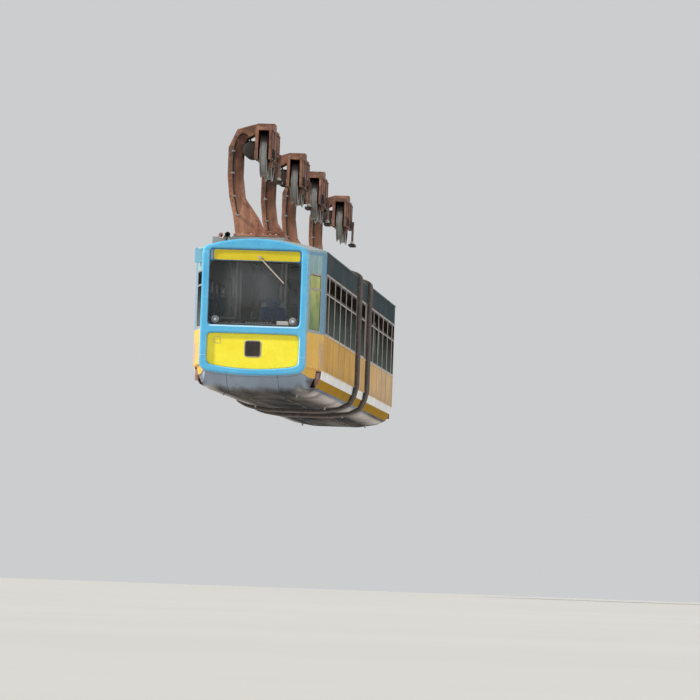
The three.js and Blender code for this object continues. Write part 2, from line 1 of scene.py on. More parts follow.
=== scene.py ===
# %% [markdown]
# # A suspended monorail car, dressed in Blender
# The car hangs by four hooked arms, with its wheels above the roof. Its solids come from the CAD part,
# already in place and already tied to the bodies that move. This lesson gives them their paint, glass
# and steel, and adds the thin pieces that a solid model leaves out.
#
# Heights count from the foot of the wheels' treads, lengths from the middle of the car and widths from
# its centre line, all in metres. The cab is at negative lengths.

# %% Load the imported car
import bpy
import bmesh
import numpy as np
from mathutils import Matrix


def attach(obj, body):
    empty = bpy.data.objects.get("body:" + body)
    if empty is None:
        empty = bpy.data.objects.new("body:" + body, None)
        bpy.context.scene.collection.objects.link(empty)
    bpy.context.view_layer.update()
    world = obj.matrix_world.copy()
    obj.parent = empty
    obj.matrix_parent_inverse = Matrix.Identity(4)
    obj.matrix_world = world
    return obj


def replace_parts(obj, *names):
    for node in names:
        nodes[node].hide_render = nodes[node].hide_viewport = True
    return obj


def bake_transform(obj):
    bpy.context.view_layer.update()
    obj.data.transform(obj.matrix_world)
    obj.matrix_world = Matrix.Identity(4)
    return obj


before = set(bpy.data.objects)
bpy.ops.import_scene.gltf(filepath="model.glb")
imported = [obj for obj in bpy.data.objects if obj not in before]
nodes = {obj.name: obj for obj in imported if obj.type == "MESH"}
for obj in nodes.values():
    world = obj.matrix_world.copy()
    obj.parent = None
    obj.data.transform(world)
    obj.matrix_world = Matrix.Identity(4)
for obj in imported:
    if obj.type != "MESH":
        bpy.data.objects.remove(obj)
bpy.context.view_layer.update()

# %% [markdown]
# ## Camera
# The car is seen from below and from far off, through a long lens. A camera could be turned by eye
# until the view looks right, but through such a lens an error of many metres hardly shows. So its place
# and turn were found by fitting measured corners of the car to their places in the picture.

# %% Camera
CAMERA_AT = (8.709, -126.773, -6.907)
YAW, PITCH, ROLL = np.radians([-3.532, 1.984, 2.052])
FOCAL_PIXELS, PICTURE_PIXELS, SENSOR = 6920.5, 700, 36.0


def camera_axes(yaw, pitch, roll):
    """Right, up and forward: forward from yaw and pitch, the other two turned round it by the roll."""
    forward = np.array([np.sin(yaw) * np.cos(pitch), np.cos(yaw) * np.cos(pitch), np.sin(pitch)])
    level = np.array([np.cos(yaw), -np.sin(yaw), 0.0])
    upright = np.cross(level, forward)
    right = level * np.cos(roll) + upright * np.sin(roll)
    return right, upright * np.cos(roll) - level * np.sin(roll), forward


right, up, forward = camera_axes(YAW, PITCH, ROLL)
camera_data = bpy.data.cameras.new("long_lens")
camera_data.sensor_width = SENSOR
camera_data.lens = FOCAL_PIXELS / PICTURE_PIXELS * SENSOR
camera_data.clip_start, camera_data.clip_end = 1.0, 2000.0
camera = bpy.data.objects.new("long_lens", camera_data)
camera.matrix_world = Matrix(np.column_stack([right, up, -forward]).tolist()).to_4x4()
camera.location = CAMERA_AT
bpy.context.scene.collection.objects.link(camera)
bpy.context.scene.camera = camera
print("lens", round(camera_data.lens, 1), "mm")

# %% [markdown]
# ## Shapes from numbers
# Every new piece is worked out as whole arrays of points. They could be modelled by hand, but rows of
# like pieces are quicker as numbers, and exact. A shape is a pair: its points and its four-sided faces.
# Small helpers make bars, boxes and swept frames, and join many of them into one.

# %% Grids of faces
def grid_faces(rows, columns, wrap_rows=False, wrap_columns=False):
    """Quads of a grid numbered row by row: two neighbours in a row and the same two in the next."""
    r = np.arange(rows if wrap_rows else rows - 1)
    c = np.arange(columns if wrap_columns else columns - 1)
    a, b = np.meshgrid(r, c, indexing="ij")
    a2, b2 = (a + 1) % rows, (b + 1) % columns
    corners = [a * columns + b, a * columns + b2, a2 * columns + b2, a2 * columns + b]
    return np.stack(corners, -1).reshape(-1, 4)


def together(*shapes):
    """One shape of many: points one after the other, and each shape's faces counted on."""
    starts = np.cumsum([0] + [len(p) for p, _ in shapes[:-1]])
    points = np.concatenate([np.asarray(p, float) for p, _ in shapes])
    return points, np.concatenate([f + s for (_, f), s in zip(shapes, starts)])


def repeated(shape, offsets):
    """Copies of a shape, each moved by one offset."""
    points, faces = shape
    offsets = np.asarray(offsets, float).reshape(-1, 3)
    moved = (points[None] + offsets[:, None]).reshape(-1, 3)
    steps = len(points) * np.arange(len(offsets))
    return moved, (faces[None] + steps[:, None, None]).reshape(-1, 4)


# %% Boxes and bars
CORNERS = np.array([[i, j, k] for i in (0, 1) for j in (0, 1) for k in (0, 1)], float)
BOX_FACES = np.array(
    [[0, 1, 3, 2], [4, 6, 7, 5], [0, 4, 5, 1], [2, 3, 7, 6], [0, 2, 6, 4], [1, 5, 7, 3]]
)


def boxes(rows):
    """Boxes from rows of x0, x1, y0, y1, z0, z1: each corner is low + (high - low) * 0 or 1."""
    r = np.sort(np.asarray(rows, float).reshape(-1, 3, 2), axis=2)
    points = r[:, None, :, 0] + (r[:, None, :, 1] - r[:, None, :, 0]) * CORNERS[None]
    faces = BOX_FACES[None] + len(CORNERS) * np.arange(len(r))[:, None, None]
    return points.reshape(-1, 3), faces.reshape(-1, 4)


def across_of(axis):
    """Two directions square to each axis: its cross product with Z, or with X where it is near Z."""
    helper = np.where(np.abs(axis[..., 2:]) > 0.9, [1.0, 0.0, 0.0], [0.0, 0.0, 1.0])
    side = np.cross(axis, helper)
    side /= np.linalg.norm(side, axis=-1, keepdims=True)
    return side, np.cross(side, axis)


def circles(axis, sides):
    """A unit circle square to each axis: side cos a + up sin a, for evenly spaced angles a."""
    side, upward = across_of(axis)
    a = np.linspace(0, 2 * np.pi, sides, endpoint=False)
    return side[:, None] * np.cos(a)[None, :, None] + upward[:, None] * np.sin(a)[None, :, None]


def turned(profile, start, axis, sides=24):
    """A profile of (distance d, radius r) turned round an axis: start + axis d + r (unit circle)."""
    d, r = np.asarray(profile, float).T
    axis = np.asarray(axis, float)
    ring = circles(axis[None], sides)
    points = np.asarray(start, float) + axis * d[:, None, None] + ring * r[:, None, None]
    return points.reshape(-1, 3), grid_faces(len(d), sides, False, True)


def rods(rows, sides=12):
    """Closed round bars from rows of x0, y0, z0, x1, y1, z1, radius: rings of radius 0, r, r and 0."""
    rows = np.asarray(rows, float).reshape(-1, 7)
    start, end, radius = rows[:, :3], rows[:, 3:6], rows[:, 6]
    axis = (end - start) / np.linalg.norm(end - start, axis=1, keepdims=True)
    centres = np.stack([start, start, end, end], 1)
    size = np.stack([radius * 0, radius, radius, radius * 0], 1)
    points = centres[:, :, None] + circles(axis, sides)[:, None] * size[:, :, None, None]
    steps = 4 * sides * np.arange(len(rows))
    faces = grid_faces(4, sides, False, True)[None] + steps[:, None, None]
    return points.reshape(-1, 3), faces.reshape(-1, 4)


def pipe(path, radius, sides=10):
    """A round tube along a path: path + r times the circle square to its slope, with closed ends."""
    path = np.asarray(path, float)
    path = np.concatenate([path[:1], path, path[-1:]])
    slope = np.gradient(path[1:-1], axis=0)
    slope = np.concatenate([slope[:1], slope, slope[-1:]])
    slope /= np.linalg.norm(slope, axis=1, keepdims=True)
    r = np.full(len(path), radius, float)
    r[[0, -1]] = 0
    points = path[:, None] + circles(slope, sides) * r[:, None, None]
    return points.reshape(-1, 3), grid_faces(len(path), sides, False, True)


def coil(centre, radius, height, turns, wire, sides=6):
    """A spring round an upright line: the angle grows evenly with height, a full circle each turn."""
    t = np.linspace(0, 1, int(turns * 14))
    a = 2 * np.pi * turns * t
    path = np.stack([radius * np.cos(a), radius * np.sin(a), height * t], 1) + np.asarray(centre, float)
    return pipe(path, wire, sides)


print("a box has", len(BOX_FACES), "faces")


# %% Frames round an opening
def rounded_path(u0, u1, v0, v1, r, steps=5):
    """Corner arcs of a rounded rectangle, centre + r (cos a, sin a), and each point's way out."""
    centres = np.array([[u1 - r, v1 - r], [u0 + r, v1 - r], [u0 + r, v0 + r], [u1 - r, v0 + r]])
    a = (np.arange(4)[:, None] + np.linspace(0, 1, steps)[None]) * np.pi / 2
    outward = np.stack([np.cos(a), np.sin(a)], -1)
    return (centres[:, None] + r * outward).reshape(-1, 2), outward.reshape(-1, 2)


def frame_ring(path, outward, plane, level, facing, profile):
    """A profile of (outward, proud) pairs carried round a flat path that lies across the given axis."""
    other = [i for i in range(3) if i != plane]
    p = np.asarray(profile, float)
    points = np.zeros((len(path), len(p), 3))
    points[..., other] = path[:, None] + outward[:, None] * p[None, :, :1]
    points[..., plane] = level + facing * p[None, :, 1]
    return points.reshape(-1, 3), grid_faces(len(path), len(p), True, True)


def domed_plate(path, plane, level, facing, thick, crown, rings=7):
    """A plate inside an outline: rings of size s shrink inwards, as high as thick + crown (1 - s^2)."""
    other = [i for i in range(3) if i != plane]
    middle = (path.max(0) + path.min(0)) / 2
    s = np.concatenate([[1.0], np.cos(np.linspace(0, np.pi / 2, rings)) ** 0.7, [0.0]])
    height = np.concatenate([[0.0], thick + crown * (1 - s[1:-1] ** 2), [0.0]])
    points = np.zeros((len(s), len(path), 3))
    points[..., other] = middle + s[:, None, None] * (path - middle)[None]
    points[..., plane] = level + facing * height[:, None]
    return points.reshape(-1, 3), grid_faces(len(s), len(path), True, True)


def rounded_plate(u0, u1, v0, v1, r, plane, level, facing, thick, crown):
    """A domed plate inside a rounded rectangle."""
    return domed_plate(rounded_path(u0, u1, v0, v1, r)[0], plane, level, facing, thick, crown)


# %% From arrays to a piece
SHARP_ANGLE = np.radians(38)


def make_piece(name, shape, material, body, bevel=0.0, smooth=True):
    """A mesh from a shape: poles and seams closed, faces turned out, and tied to its body, if named."""
    points, faces = shape
    mesh = bpy.data.meshes.new(name)
    mesh.vertices.add(len(points))
    mesh.vertices.foreach_set("co", np.asarray(points, np.float32).ravel())
    mesh.loops.add(faces.size)
    mesh.loops.foreach_set("vertex_index", faces.astype(np.int32).ravel())
    mesh.polygons.add(len(faces))
    mesh.polygons.foreach_set("loop_start", np.arange(len(faces), dtype=np.int32) * 4)
    mesh.update(calc_edges=True)
    work = bmesh.new()
    work.from_mesh(mesh)
    bmesh.ops.remove_doubles(work, verts=work.verts, dist=2e-5)
    bmesh.ops.dissolve_degenerate(work, edges=work.edges, dist=1e-6)
    bmesh.ops.recalc_face_normals(work, faces=work.faces)
    work.to_mesh(mesh)
    work.free()
    mesh.materials.append(material)
    piece = bpy.data.objects.new(name, mesh)
    bpy.context.scene.collection.objects.link(piece)
    if smooth:
        mesh.shade_smooth()
        mesh.set_sharp_from_angle(angle=SHARP_ANGLE)
    else:
        mesh.shade_flat()
    if bevel:
        edge = piece.modifiers.new("soft_edges", "BEVEL")
        edge.width, edge.segments, edge.limit_method = bevel, 2, "ANGLE"
        edge.harden_normals = False
    if body:
        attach(piece, body)
    return piece


print("pieces are smooth across edges under", round(float(np.degrees(SHARP_ANGLE))), "degrees")

# %% [markdown]
# ## Finishes
# A finish is a tree of nodes that reads where a point lies on the car. Paint could also be laid out on
# each panel's own map, but its lines would have to be matched from panel to panel. All the car's meshes
# share one frame, so a paint line is a height or a length in metres and runs on by itself.

# %% Colour and node helpers
def shade(code):
    """Linear colour of a web colour code, by the usual display curve."""
    c = np.array([int(code[i:i + 2], 16) for i in (0, 2, 4)]) / 255
    c = np.where(c <= 0.04045, c / 12.92, ((c + 0.055) / 1.055) ** 2.4)
    return (*c.tolist(), 1.0)


class Finish:
    """A material being made: its nodes, its shader, and the coordinates that its patterns read."""

    def __init__(self, name, **sockets):
        self.material = bpy.data.materials.new(name)
        self.material.use_nodes = True
        self.tree = self.material.node_tree
        self.shader = self.tree.nodes["Principled BSDF"]
        for key, value in sockets.items():
            self.shader.inputs[key.replace("_", " ")].default_value = value
        self.place = self.put("TexCoord").outputs["Object"]
        split = self.put("SeparateXYZ", {0: self.place}).outputs
        self.x, self.y, self.z = split[0], split[1], split[2]
        self.wide = self.math("ABSOLUTE", self.x)
        self.along = self.math("ABSOLUTE", self.y)

    def put(self, kind, inputs=(), **settings):
        """Adds a node; an input is a value, or another node's socket to link."""
        node = self.tree.nodes.new("ShaderNode" + kind)
        for key, value in settings.items():
            setattr(node, key, value)
        for key, value in dict(inputs).items():
            if isinstance(value, bpy.types.NodeSocket):
                self.tree.links.new(value, node.inputs[key])
            else:
                node.inputs[key].default_value = value
        return node

    def feed(self, socket, value):
        """Links a pattern to one of the shader's own sockets."""
        self.tree.links.new(value, self.shader.inputs[socket])

    def math(self, operation, a, b=0.0, c=0.0, clamp=False):
        """One step of arithmetic."""
        return self.put("Math", {0: a, 1: b, 2: c}, operation=operation, use_clamp=clamp).outputs[0]

    def plus(self, a, b):
        """The sum of two values."""
        return self.math("ADD", a, b)

    def minus(self, a, b):
        """The first value less the second."""
        return self.math("SUBTRACT", a, b)

    def both(self, a, b):
        """1 where both masks are 1: their product."""
        return self.math("MULTIPLY", a, b)

    def less(self, mask, amount):
        """A mask made weaker, or any value times a number."""
        return self.math("MULTIPLY", mask, amount)

    def either(self, a, b):
        """1 where one of two masks is 1: the greater of them."""
        return self.math("MAXIMUM", a, b)

    def flip(self, mask):
        """1 where a mask is 0."""
        return self.math("SUBTRACT", 1.0, mask)

    def above(self, value, edge, soft=0.001):
        """0 below an edge and 1 above it, with a slope of twice the softness between."""
        if isinstance(edge, bpy.types.NodeSocket):
            value, edge = self.minus(value, edge), 0.0
        inputs = {"Value": value, "From Min": edge - soft, "From Max": edge + soft}
        return self.put("MapRange", inputs, clamp=True).outputs[0]

    def below(self, value, edge, soft=0.001):
        """1 below an edge and 0 above it."""
        return self.flip(self.above(value, edge, soft))

    def between(self, value, low, high, soft=0.001):
        """1 between two edges: above the low one and not above the high one."""
        rise, fall = self.above(value, low, soft), self.above(value, high, soft)
        return self.both(rise, self.flip(fall))

    def mix(self, mask, a, b):
        """Colour a where the mask is 0 and colour b where it is 1."""
        a = shade(a) if isinstance(a, str) else a
        b = shade(b) if isinstance(b, str) else b
        return self.put("Mix", {0: mask, 6: a, 7: b}, data_type="RGBA").outputs[2]

    def noise(self, scale, stretch=(1, 1, 1), detail=4.0, rough=0.55, low=0.35, high=0.65):
        """Cloudy pattern from 0 to 1, its size along each axis divided by the stretch."""
        spread = self.put("Mapping", {"Vector": self.place, "Scale": stretch}).outputs[0]
        inputs = {"Vector": spread, "Scale": scale, "Detail": detail, "Roughness": rough}
        cloud = self.put("TexNoise", inputs).outputs[0]
        return self.put(
            "MapRange", {"Value": cloud, "From Min": low, "From Max": high}, clamp=True
        ).outputs[0]

    def lines(self, value, spacing, width, offset=0.0):
        """1 on thin lines that repeat along a coordinate, from its distance to the nearest one."""
        turns = self.math("DIVIDE", self.plus(value, offset), spacing)
        away = self.math("ABSOLUTE", self.minus(turns, self.math("ROUND", turns)))
        return self.below(away, width / spacing, width / spacing * 0.5)

    def end(self, colour, low=0.4, high=0.6, patch=None, height=None, depth=0.001, strength=0.4):
        """Links the colour, a roughness that varies with a patch pattern, and a bump from a height."""
        self.feed("Base Color", colour)
        patch = self.noise(3.0) if patch is None else patch
        self.feed(
            "Roughness",
            self.put("MapRange", {"Value": patch, "To Min": low, "To Max": high}).outputs[0]
        )
        if height is not None:
            bump = self.put("Bump", {"Height": height, "Distance": depth, "Strength": strength})
            self.feed("Normal", bump.outputs[0])
        print("finish", self.material.name, "with", len(self.tree.nodes), "nodes")
        return self.material


def weathered(f, colour, dirt="6a6257", amount=0.3, rain=0.25):
    """Cloudy dirt, fine specks, and streaks that are long along Z because rain runs down."""
    cloud = f.less(f.noise(1.3, (1, 0.5, 1)), amount)
    streak = f.less(f.noise(9.0, (1, 1, 0.12), 3.0, 0.6, 0.5, 0.75), rain)
    speck = f.less(f.noise(60.0, (1, 1, 1), 2.0, 0.5, 0.62, 0.72), amount * 0.7)
    return f.mix(f.either(f.either(cloud, streak), speck), colour, dirt)


print("display curve: half grey is", round(shade("808080")[0], 3), "in light")

# %% [markdown]
# ## The car's paint
# The sides are yellow below the windows, dull brown between them and, above them, pale blue painted
# dark blue green as shade. Towards the rear the yellow is paler, and the walls' inner faces are pale.
# Each colour could be a material of its own on its own faces. Masks in one material keep the dirt
# running across them, as it really does.

# %% Sizes and colours of the paint
SKIN = 1.1  # half width of the car, out to the sides' faces
CAB_END, NOSE_TAPER = 10.6, 0.1778  # where the nose starts, and the half width that it loses in a metre
FRAME_BACK = 11.9035  # length at the back of the blue frame round the face
PANEL_TOP, BAND_FOOT = -2.640, -1.600  # of the yellow panel, and of the dark band over the windows
CREASE_FOOT, GOLD_FOOT = -3.388, -3.527  # of the white crease, and of the gold strip below it
YELLOW, PALER_REAR_YELLOW = "e3ad45", "e0b98f"
# the band over the windows and the roof's flanks are pale blue, painted dark here as shade
SHADED_PALE_BLUE, PILLAR_BROWN, ROOF_GREY = "3f5058", "8d7f78", "98a1a2"
print("yellow below", PANEL_TOP, "m, dark above", BAND_FOOT, "m")


# %% Side paint
def side_paint():
    """The walls: three bands by height outside, the top one pale blue painted dark as shade, the yellow
    paler towards the rear, and a pale lining inside.
    """
    f = Finish("side_paint")
    outside = f.above(f.wide, 1.078)
    upper = f.above(f.z, BAND_FOOT)
    lower = f.below(f.z, PANEL_TOP)
    rear = f.above(f.y, 1.0, 5.0)
    f.feed("Specular IOR Level", f.both(lower, f.plus(f.less(rear, 0.2), 0.04)))
    # above the windows: pale blue painted dark, as shade
    skin = f.mix(upper, PILLAR_BROWN, SHADED_PALE_BLUE)
    skin = f.mix(lower, skin, YELLOW)
    # the yellow turns paler towards the rear
    skin = f.mix(f.less(f.both(lower, rear), 0.60), skin, PALER_REAR_YELLOW)
    skin = f.mix(f.less(f.between(f.z, -2.650, -2.632), 0.8), skin, "efe3c2")
    seams = f.both(f.lines(f.along, 1.56, 0.004, -8.17 + 1.56 * 6), f.between(f.z, -3.2, -2.7))
    skin = weathered(f, skin, "7a6a50", 0.32, 0.3)
    skin = f.mix(f.less(seams, 0.7), skin, "4c4132")
    foot = f.below(f.z, -3.15, 0.08)
    skin = f.mix(f.less(f.both(foot, f.noise(6.0)), 0.5), skin, "7c6748")
    streaks = f.both(lower, f.noise(13.0, (1, 1, 0.10), 4.0, 0.6, 0.40, 0.6))
    skin = f.mix(f.less(f.both(f.above(f.along, 10.30, 0.12), streaks), 0.75), skin, "9a8468")
    lining = f.mix(f.above(f.z, -2.66), "8f8d86", "c9c5ba")
    height = f.minus(f.noise(0.9, (1, 1, 0.7), 2.0), seams)
    return f.end(
        f.mix(outside, lining, skin), 0.42, 0.62, f.noise(4.0, (1, 1, 0.4)), height, 0.004, 0.35
    )


side_material = side_paint()


# %% Roof paint
def roof_paint():
    """Grey sheet with seams on top, flanks of pale blue painted dark as shade, and pale ceiling panels
    on the under side.
    """
    f = Finish("roof_paint", Specular_IOR_Level=0.12)
    ceiling = f.below(f.z, -1.2645, 0.0004)
    # the roof's lower flanks: pale blue painted dark, as shade
    flank = f.both(f.above(f.wide, 1.02, 0.02), f.below(f.z, -1.17, 0.02))
    top = weathered(f, f.mix(flank, ROOF_GREY, SHADED_PALE_BLUE), "5d564c", 0.5, 0.1)
    seams = f.lines(f.along, 1.14, 0.006)
    top = f.mix(f.less(seams, 0.6), top, "4a4a48")
    panels = f.either(f.lines(f.along, 0.84, 0.004), f.lines(f.x, 0.55, 0.004))
    inside = f.mix(f.less(panels, 0.7), "d5d3ca", "77756e")
    height = f.plus(f.less(f.noise(2.0), 0.5), seams)
    return f.end(f.mix(ceiling, top, inside), 0.4, 0.7, f.noise(2.5), height, 0.004, 0.4)


roof_material = roof_paint()

# %% [markdown]
# ## Belly, crease and floor
# The underframe is one piece with many finishes: ribbed floor covering on top, a white crease and a
# gold strip on its folded edge, and sheet metal below, streaked lengthwise, with painted shade and
# painted reflections under its flat part, pale along its flanks.
# Its faces cross these edges, so faces can't carry the colours. Masks on height and width can.

# %% Underframe paint
def belly_metal(f):
    """Blue grey sheet with long streaks, and thin joints; under the flat part, painted shade with
    painted brown and green reflections, and a pale painted reflection along its flanks.
    """
    metal = f.mix(f.noise(0.7, (1, 0.35, 1), 5.0, 0.6, 0.4, 0.62), "909eaf", "a3b0bf")
    streaks = f.both(f.noise(3.0, (1.5, 0.06, 1), 6.0, 0.65, 0.42, 0.62), f.below(f.along, 11.55, 0.2))
    metal = f.mix(f.less(streaks, 0.85), metal, "54463c")
    # under the flat part: dark painted shade, with painted brown and green reflections
    under = f.both(f.below(f.z, -3.56, 0.014), f.below(f.along, 11.45, 0.15))
    under_shade_and_reflections = f.mix(f.noise(0.9, (1.3, 0.22, 1), 5.0, 0.6, 0.38, 0.64), "262c2d", "6b625d")
    under_shade_and_reflections = f.mix(f.less(f.noise(0.8, (1.6, 0.18, 1), 4.0, 0.6, 0.56, 0.68), 0.8), under_shade_and_reflections, "7d8478")
    # along the flanks: a pale painted reflection
    flank = f.both(f.above(f.wide, 0.72, 0.15), f.noise(1.4, (1, 0.3, 1), 4.0, 0.6, 0.26, 0.52))
    under_shade_and_reflections = f.mix(f.less(flank, 0.92), under_shade_and_reflections, "ece2dc")
    metal = f.mix(f.less(under, 0.9), metal, under_shade_and_reflections)
    joints = f.either(f.lines(f.along, 1.36, 0.005, 0.3), f.lines(f.x, 0.86, 0.004, 0.43))
    return f.mix(f.less(joints, 0.75), metal, "2f3439"), joints


def underframe_paint():
    """Floor covering, yellow and white edge, gold strip, and the metal of the belly."""
    f = Finish("underframe_paint")
    colour, joints = belly_metal(f)
    nose = f.above(f.along, 10.62, 0.004)
    gold = f.both(f.between(f.z, GOLD_FOOT, CREASE_FOOT), f.flip(nose))
    colour = f.mix(gold, colour, "b38a34")
    climb = f.math("MULTIPLY", f.minus(f.along, 11.30), 0.098, clamp=True)
    crease = f.above(f.z, f.plus(climb, CREASE_FOOT), 0.002)
    colour = f.mix(crease, colour, f.mix(nose, "fdfcf8", "e0ac1a"))
    f.feed("Specular IOR Level", f.less(crease, 0.5))
    colour = f.mix(f.above(f.z, -3.2475, 0.001), colour, YELLOW)
    notch = f.both(f.between(f.z, -3.534, -3.255), f.above(f.wide, 0.62, 0.02))
    notch_colour = f.mix(f.above(f.wide, 0.972, 0.01), "26211f", "8c6d66")
    colour = f.mix(f.both(f.between(f.along, 10.635, 10.965), notch), colour, notch_colour)
    colour = weathered(f, colour, "5f574c", 0.2, 0.2)
    ribs = f.lines(f.x, 0.03, 0.006)
    floor = f.mix(f.less(ribs, 0.5), "4b4e50", "35383a")
    floor = f.mix(f.noise(90.0, (1, 1, 1), 2.0, 0.5, 0.58, 0.66), floor, "7b7d7c")
    colour = f.mix(f.above(f.z, -3.2283, 0.0002), colour, floor)
    height = f.minus(f.less(f.noise(1.6, (1, 0.6, 1), 3.0), 0.8), joints)
    return f.end(colour, 0.3, 0.55, f.noise(3.0, (1, 0.3, 1)), height, 0.005, 0.5)


underframe_material = underframe_paint()

# %% [markdown]
# ## The nose
# A thick sky blue frame stands round the face. Behind it the tapering cab sides are pale blue, painted
# darker and greener as shade and a reflection of trees, over yellow, with a blue corner post. The face
# inside the frame is set back and painted yellow, with blue round the windscreen, darkened there as
# painted shade, and the cab is grey inside. The shell is one solid, so here too masks find each part:
# the frame and the face by their length, and the lining by its depth below the skin.

# %% Nose paint
def nose_sides(f, half, fall):
    """Paint behind the frame: colours by height, a corner post, a gutter, the roof and a small box."""
    eaves = f.minus(-1.232, f.less(fall, 0.4))
    roof = f.above(f.z, eaves, 0.008)
    streak = f.noise(11.0, (1, 1, 0.10), 4.0, 0.6, 0.42, 0.62)
    # upper cab sides: pale blue painted darker and greener, as shade and a reflection of trees
    side = f.mix(f.above(f.z, PANEL_TOP), "eeb83f", f.mix(streak, "7fa3a4", "98bab8"))
    # a pinkish grey patch low on the cab side, near its rear edge
    pink_grey_patch = f.both(f.between(f.along, 10.66, 10.98, 0.05), f.between(f.z, -3.25, -2.80, 0.10))
    side = f.mix(f.less(f.both(pink_grey_patch, f.either(streak, f.noise(5.0))), 0.9), side, "a79390")
    post = f.both(f.below(f.along, 10.925), f.between(f.z, -2.635, -1.30))
    gutter = f.both(f.between(f.z, f.minus(eaves, 0.085), f.minus(eaves, 0.03)), f.above(f.wide, 0.84))
    side = f.mix(f.either(post, gutter), side, "5f96b5")
    seam = f.both(f.between(f.along, 10.640, 10.655), f.between(f.z, -3.3, -1.3))
    side = f.mix(f.less(seam, 0.8), side, "4a3f33")
    side = weathered(f, f.mix(roof, side, ROOF_GREY), "6f6a5e", 0.22, 0.28)
    camera_box = f.both(f.above(f.wide, f.plus(half, 0.006)), f.between(f.z, -1.53, -1.28))
    side = f.mix(camera_box, side, "86c0da")
    return f.mix(f.both(f.between(f.along, 11.80, 11.903), f.flip(roof)), side, "aaa3a3")


def nose_face(f):
    """The blue frame, with thin pale joints and pale lips that are painted highlights, and the set-back
    face inside it, painted dark blue round the windscreen as shade.
    """
    ring = f.mix(f.noise(2.0), "48abd9", "5ab8e2")
    # pale lines along the frame's joints: painted highlights
    upper_joint_highlight = f.both(f.between(f.z, -1.372, -1.366), f.above(f.wide, 0.8))
    joint_highlight = f.both(f.either(f.between(f.z, -3.084, -3.078), upper_joint_highlight), f.above(f.wide, 0.775))
    ring = weathered(f, f.mix(f.less(joint_highlight, 0.8), ring, "bfe3f2"), "3a6c86", 0.14, 0.12)
    # pale lines on the bar's top lip and on one inner edge of the lower opening: painted highlights
    lip = f.both(f.between(f.z, -2.598, -2.574, 0.004), f.below(f.wide, 0.74, 0.02))
    edge = f.both(f.between(f.x, 0.766, 0.782, 0.004), f.between(f.z, -3.22, -2.76, 0.05))
    ring = f.mix(f.less(f.either(lip, edge), 0.6), ring, "cfeaf5")
    set_back = f.both(f.below(f.along, 11.9885), f.below(f.wide, 0.772))
    upper = f.above(f.z, -2.6)
    face = f.mix(f.both(set_back, f.between(f.z, -3.30, -1.2)), ring, f.mix(upper, "e8d71c", "1a77ac"))
    # dark blue border round the windscreen: painted shade of the frame
    screen_border_painted_shade = f.both(upper, f.both(set_back, f.below(f.z, -1.497)))
    face = f.mix(screen_border_painted_shade, face, "154f70")
    plate = f.both(f.between(f.z, -3.097, -2.819), f.between(f.along, 11.9795, 11.995))
    return f.mix(f.both(f.below(f.wide, 0.1385), plate), face, "1f2224")


def nose_paint():
    """Glossy frame and face, duller sides behind them, and a grey lining inside the shell."""
    f = Finish("nose_paint", Coat_Roughness=0.15)
    front = f.above(f.along, FRAME_BACK, 0.0005)
    f.feed("Coat Weight", f.less(front, 0.5))
    f.feed(
        "Specular IOR Level",
        f.put("MapRange", {"Value": front, "To Min": 0.06, "To Max": 0.5}).outputs[0]
    )
    past = f.minus(f.along, CAB_END)
    half = f.minus(SKIN, f.less(past, NOSE_TAPER))
    fall = f.less(past, 0.0628)
    colour = f.mix(front, nose_sides(f, half, fall), nose_face(f))
    arch = f.both(f.both(f.x, f.x), f.plus(f.less(fall, 0.61), 0.147))
    ceiling = f.minus(f.minus(-1.072, fall), arch)
    inside = f.both(f.below(f.wide, f.minus(half, 0.022)), f.below(f.along, 11.955))
    inside = f.both(inside, f.below(f.z, ceiling))
    colour = f.mix(inside, colour, f.mix(f.noise(30.0), "5b5f61", "6d7173"))
    return f.end(colour, 0.2, 0.38, f.noise(5.0), f.noise(1.2, (1, 1, 0.8), 2.0), 0.003, 0.3)


nose_material = nose_paint()

# %% [markdown]
# ## Metals, rubber and plastics
# The arms and bogies wear a pinkish rust red paint with grime in it, and the window frames are dull
# aluminium. Pictures of rust could be laid on, but they repeat and need files. Noise at three sizes
# needs none: the largest gives the tone, a smaller one the stains, and the finest one the grain.

# %% Arms, aluminium and steel
def rust_paint():
    """Pinkish brown in large clouds, darker stains that run down, and grease near the wheels."""
    f = Finish("rust_paint")
    base = f.mix(f.noise(2.6, (1, 1, 0.5), 6.0, 0.6), "8e5a44", "b58468")
    base = f.mix(f.less(f.noise(14.0, (1, 1, 0.2), 4.0, 0.6, 0.5, 0.7), 0.6), base, "5a3424")
    grease = f.both(f.above(f.z, 0.05, 0.25), f.noise(5.0, (1, 1, 1), 5.0, 0.6, 0.3, 0.6))
    base = f.mix(f.less(grease, 0.75), base, "3b2a22")
    return f.end(base, 0.55, 0.85, f.noise(8.0), f.noise(45.0, (1, 1, 1), 5.0, 0.65), 0.002, 0.5)


def aluminium():
    """Dull drawn metal: pale clouds, grey stains, and a fine bump that is long along the car."""
    f = Finish("aluminium", Metallic=0.55)
    base = f.mix(f.noise(3.0, (1, 1, 0.3)), "a39a96", "bdb3ac")
    base = f.mix(f.less(f.noise(22.0, (1, 1, 0.3), 4.0, 0.6, 0.5, 0.7), 0.5), base, "6e625a")
    return f.end(base, 0.32, 0.55, f.noise(12.0), f.noise(180.0, (1, 0.05, 1), 2.0), 0.0004, 0.3)


def steel():
    """Bare metal with rust specks."""
    f = Finish("steel", Metallic=0.85)
    base = f.mix(f.noise(5.0), "8f8d8a", "aeaca8")
    base = f.mix(f.less(f.noise(25.0, (1, 1, 1), 5.0, 0.65, 0.5, 0.7), 0.6), base, "5b4436")
    return f.end(base, 0.25, 0.5, f.noise(18.0), f.noise(120.0), 0.0005, 0.3)


rust_material, frame_material, steel_material = rust_paint(), aluminium(), steel()


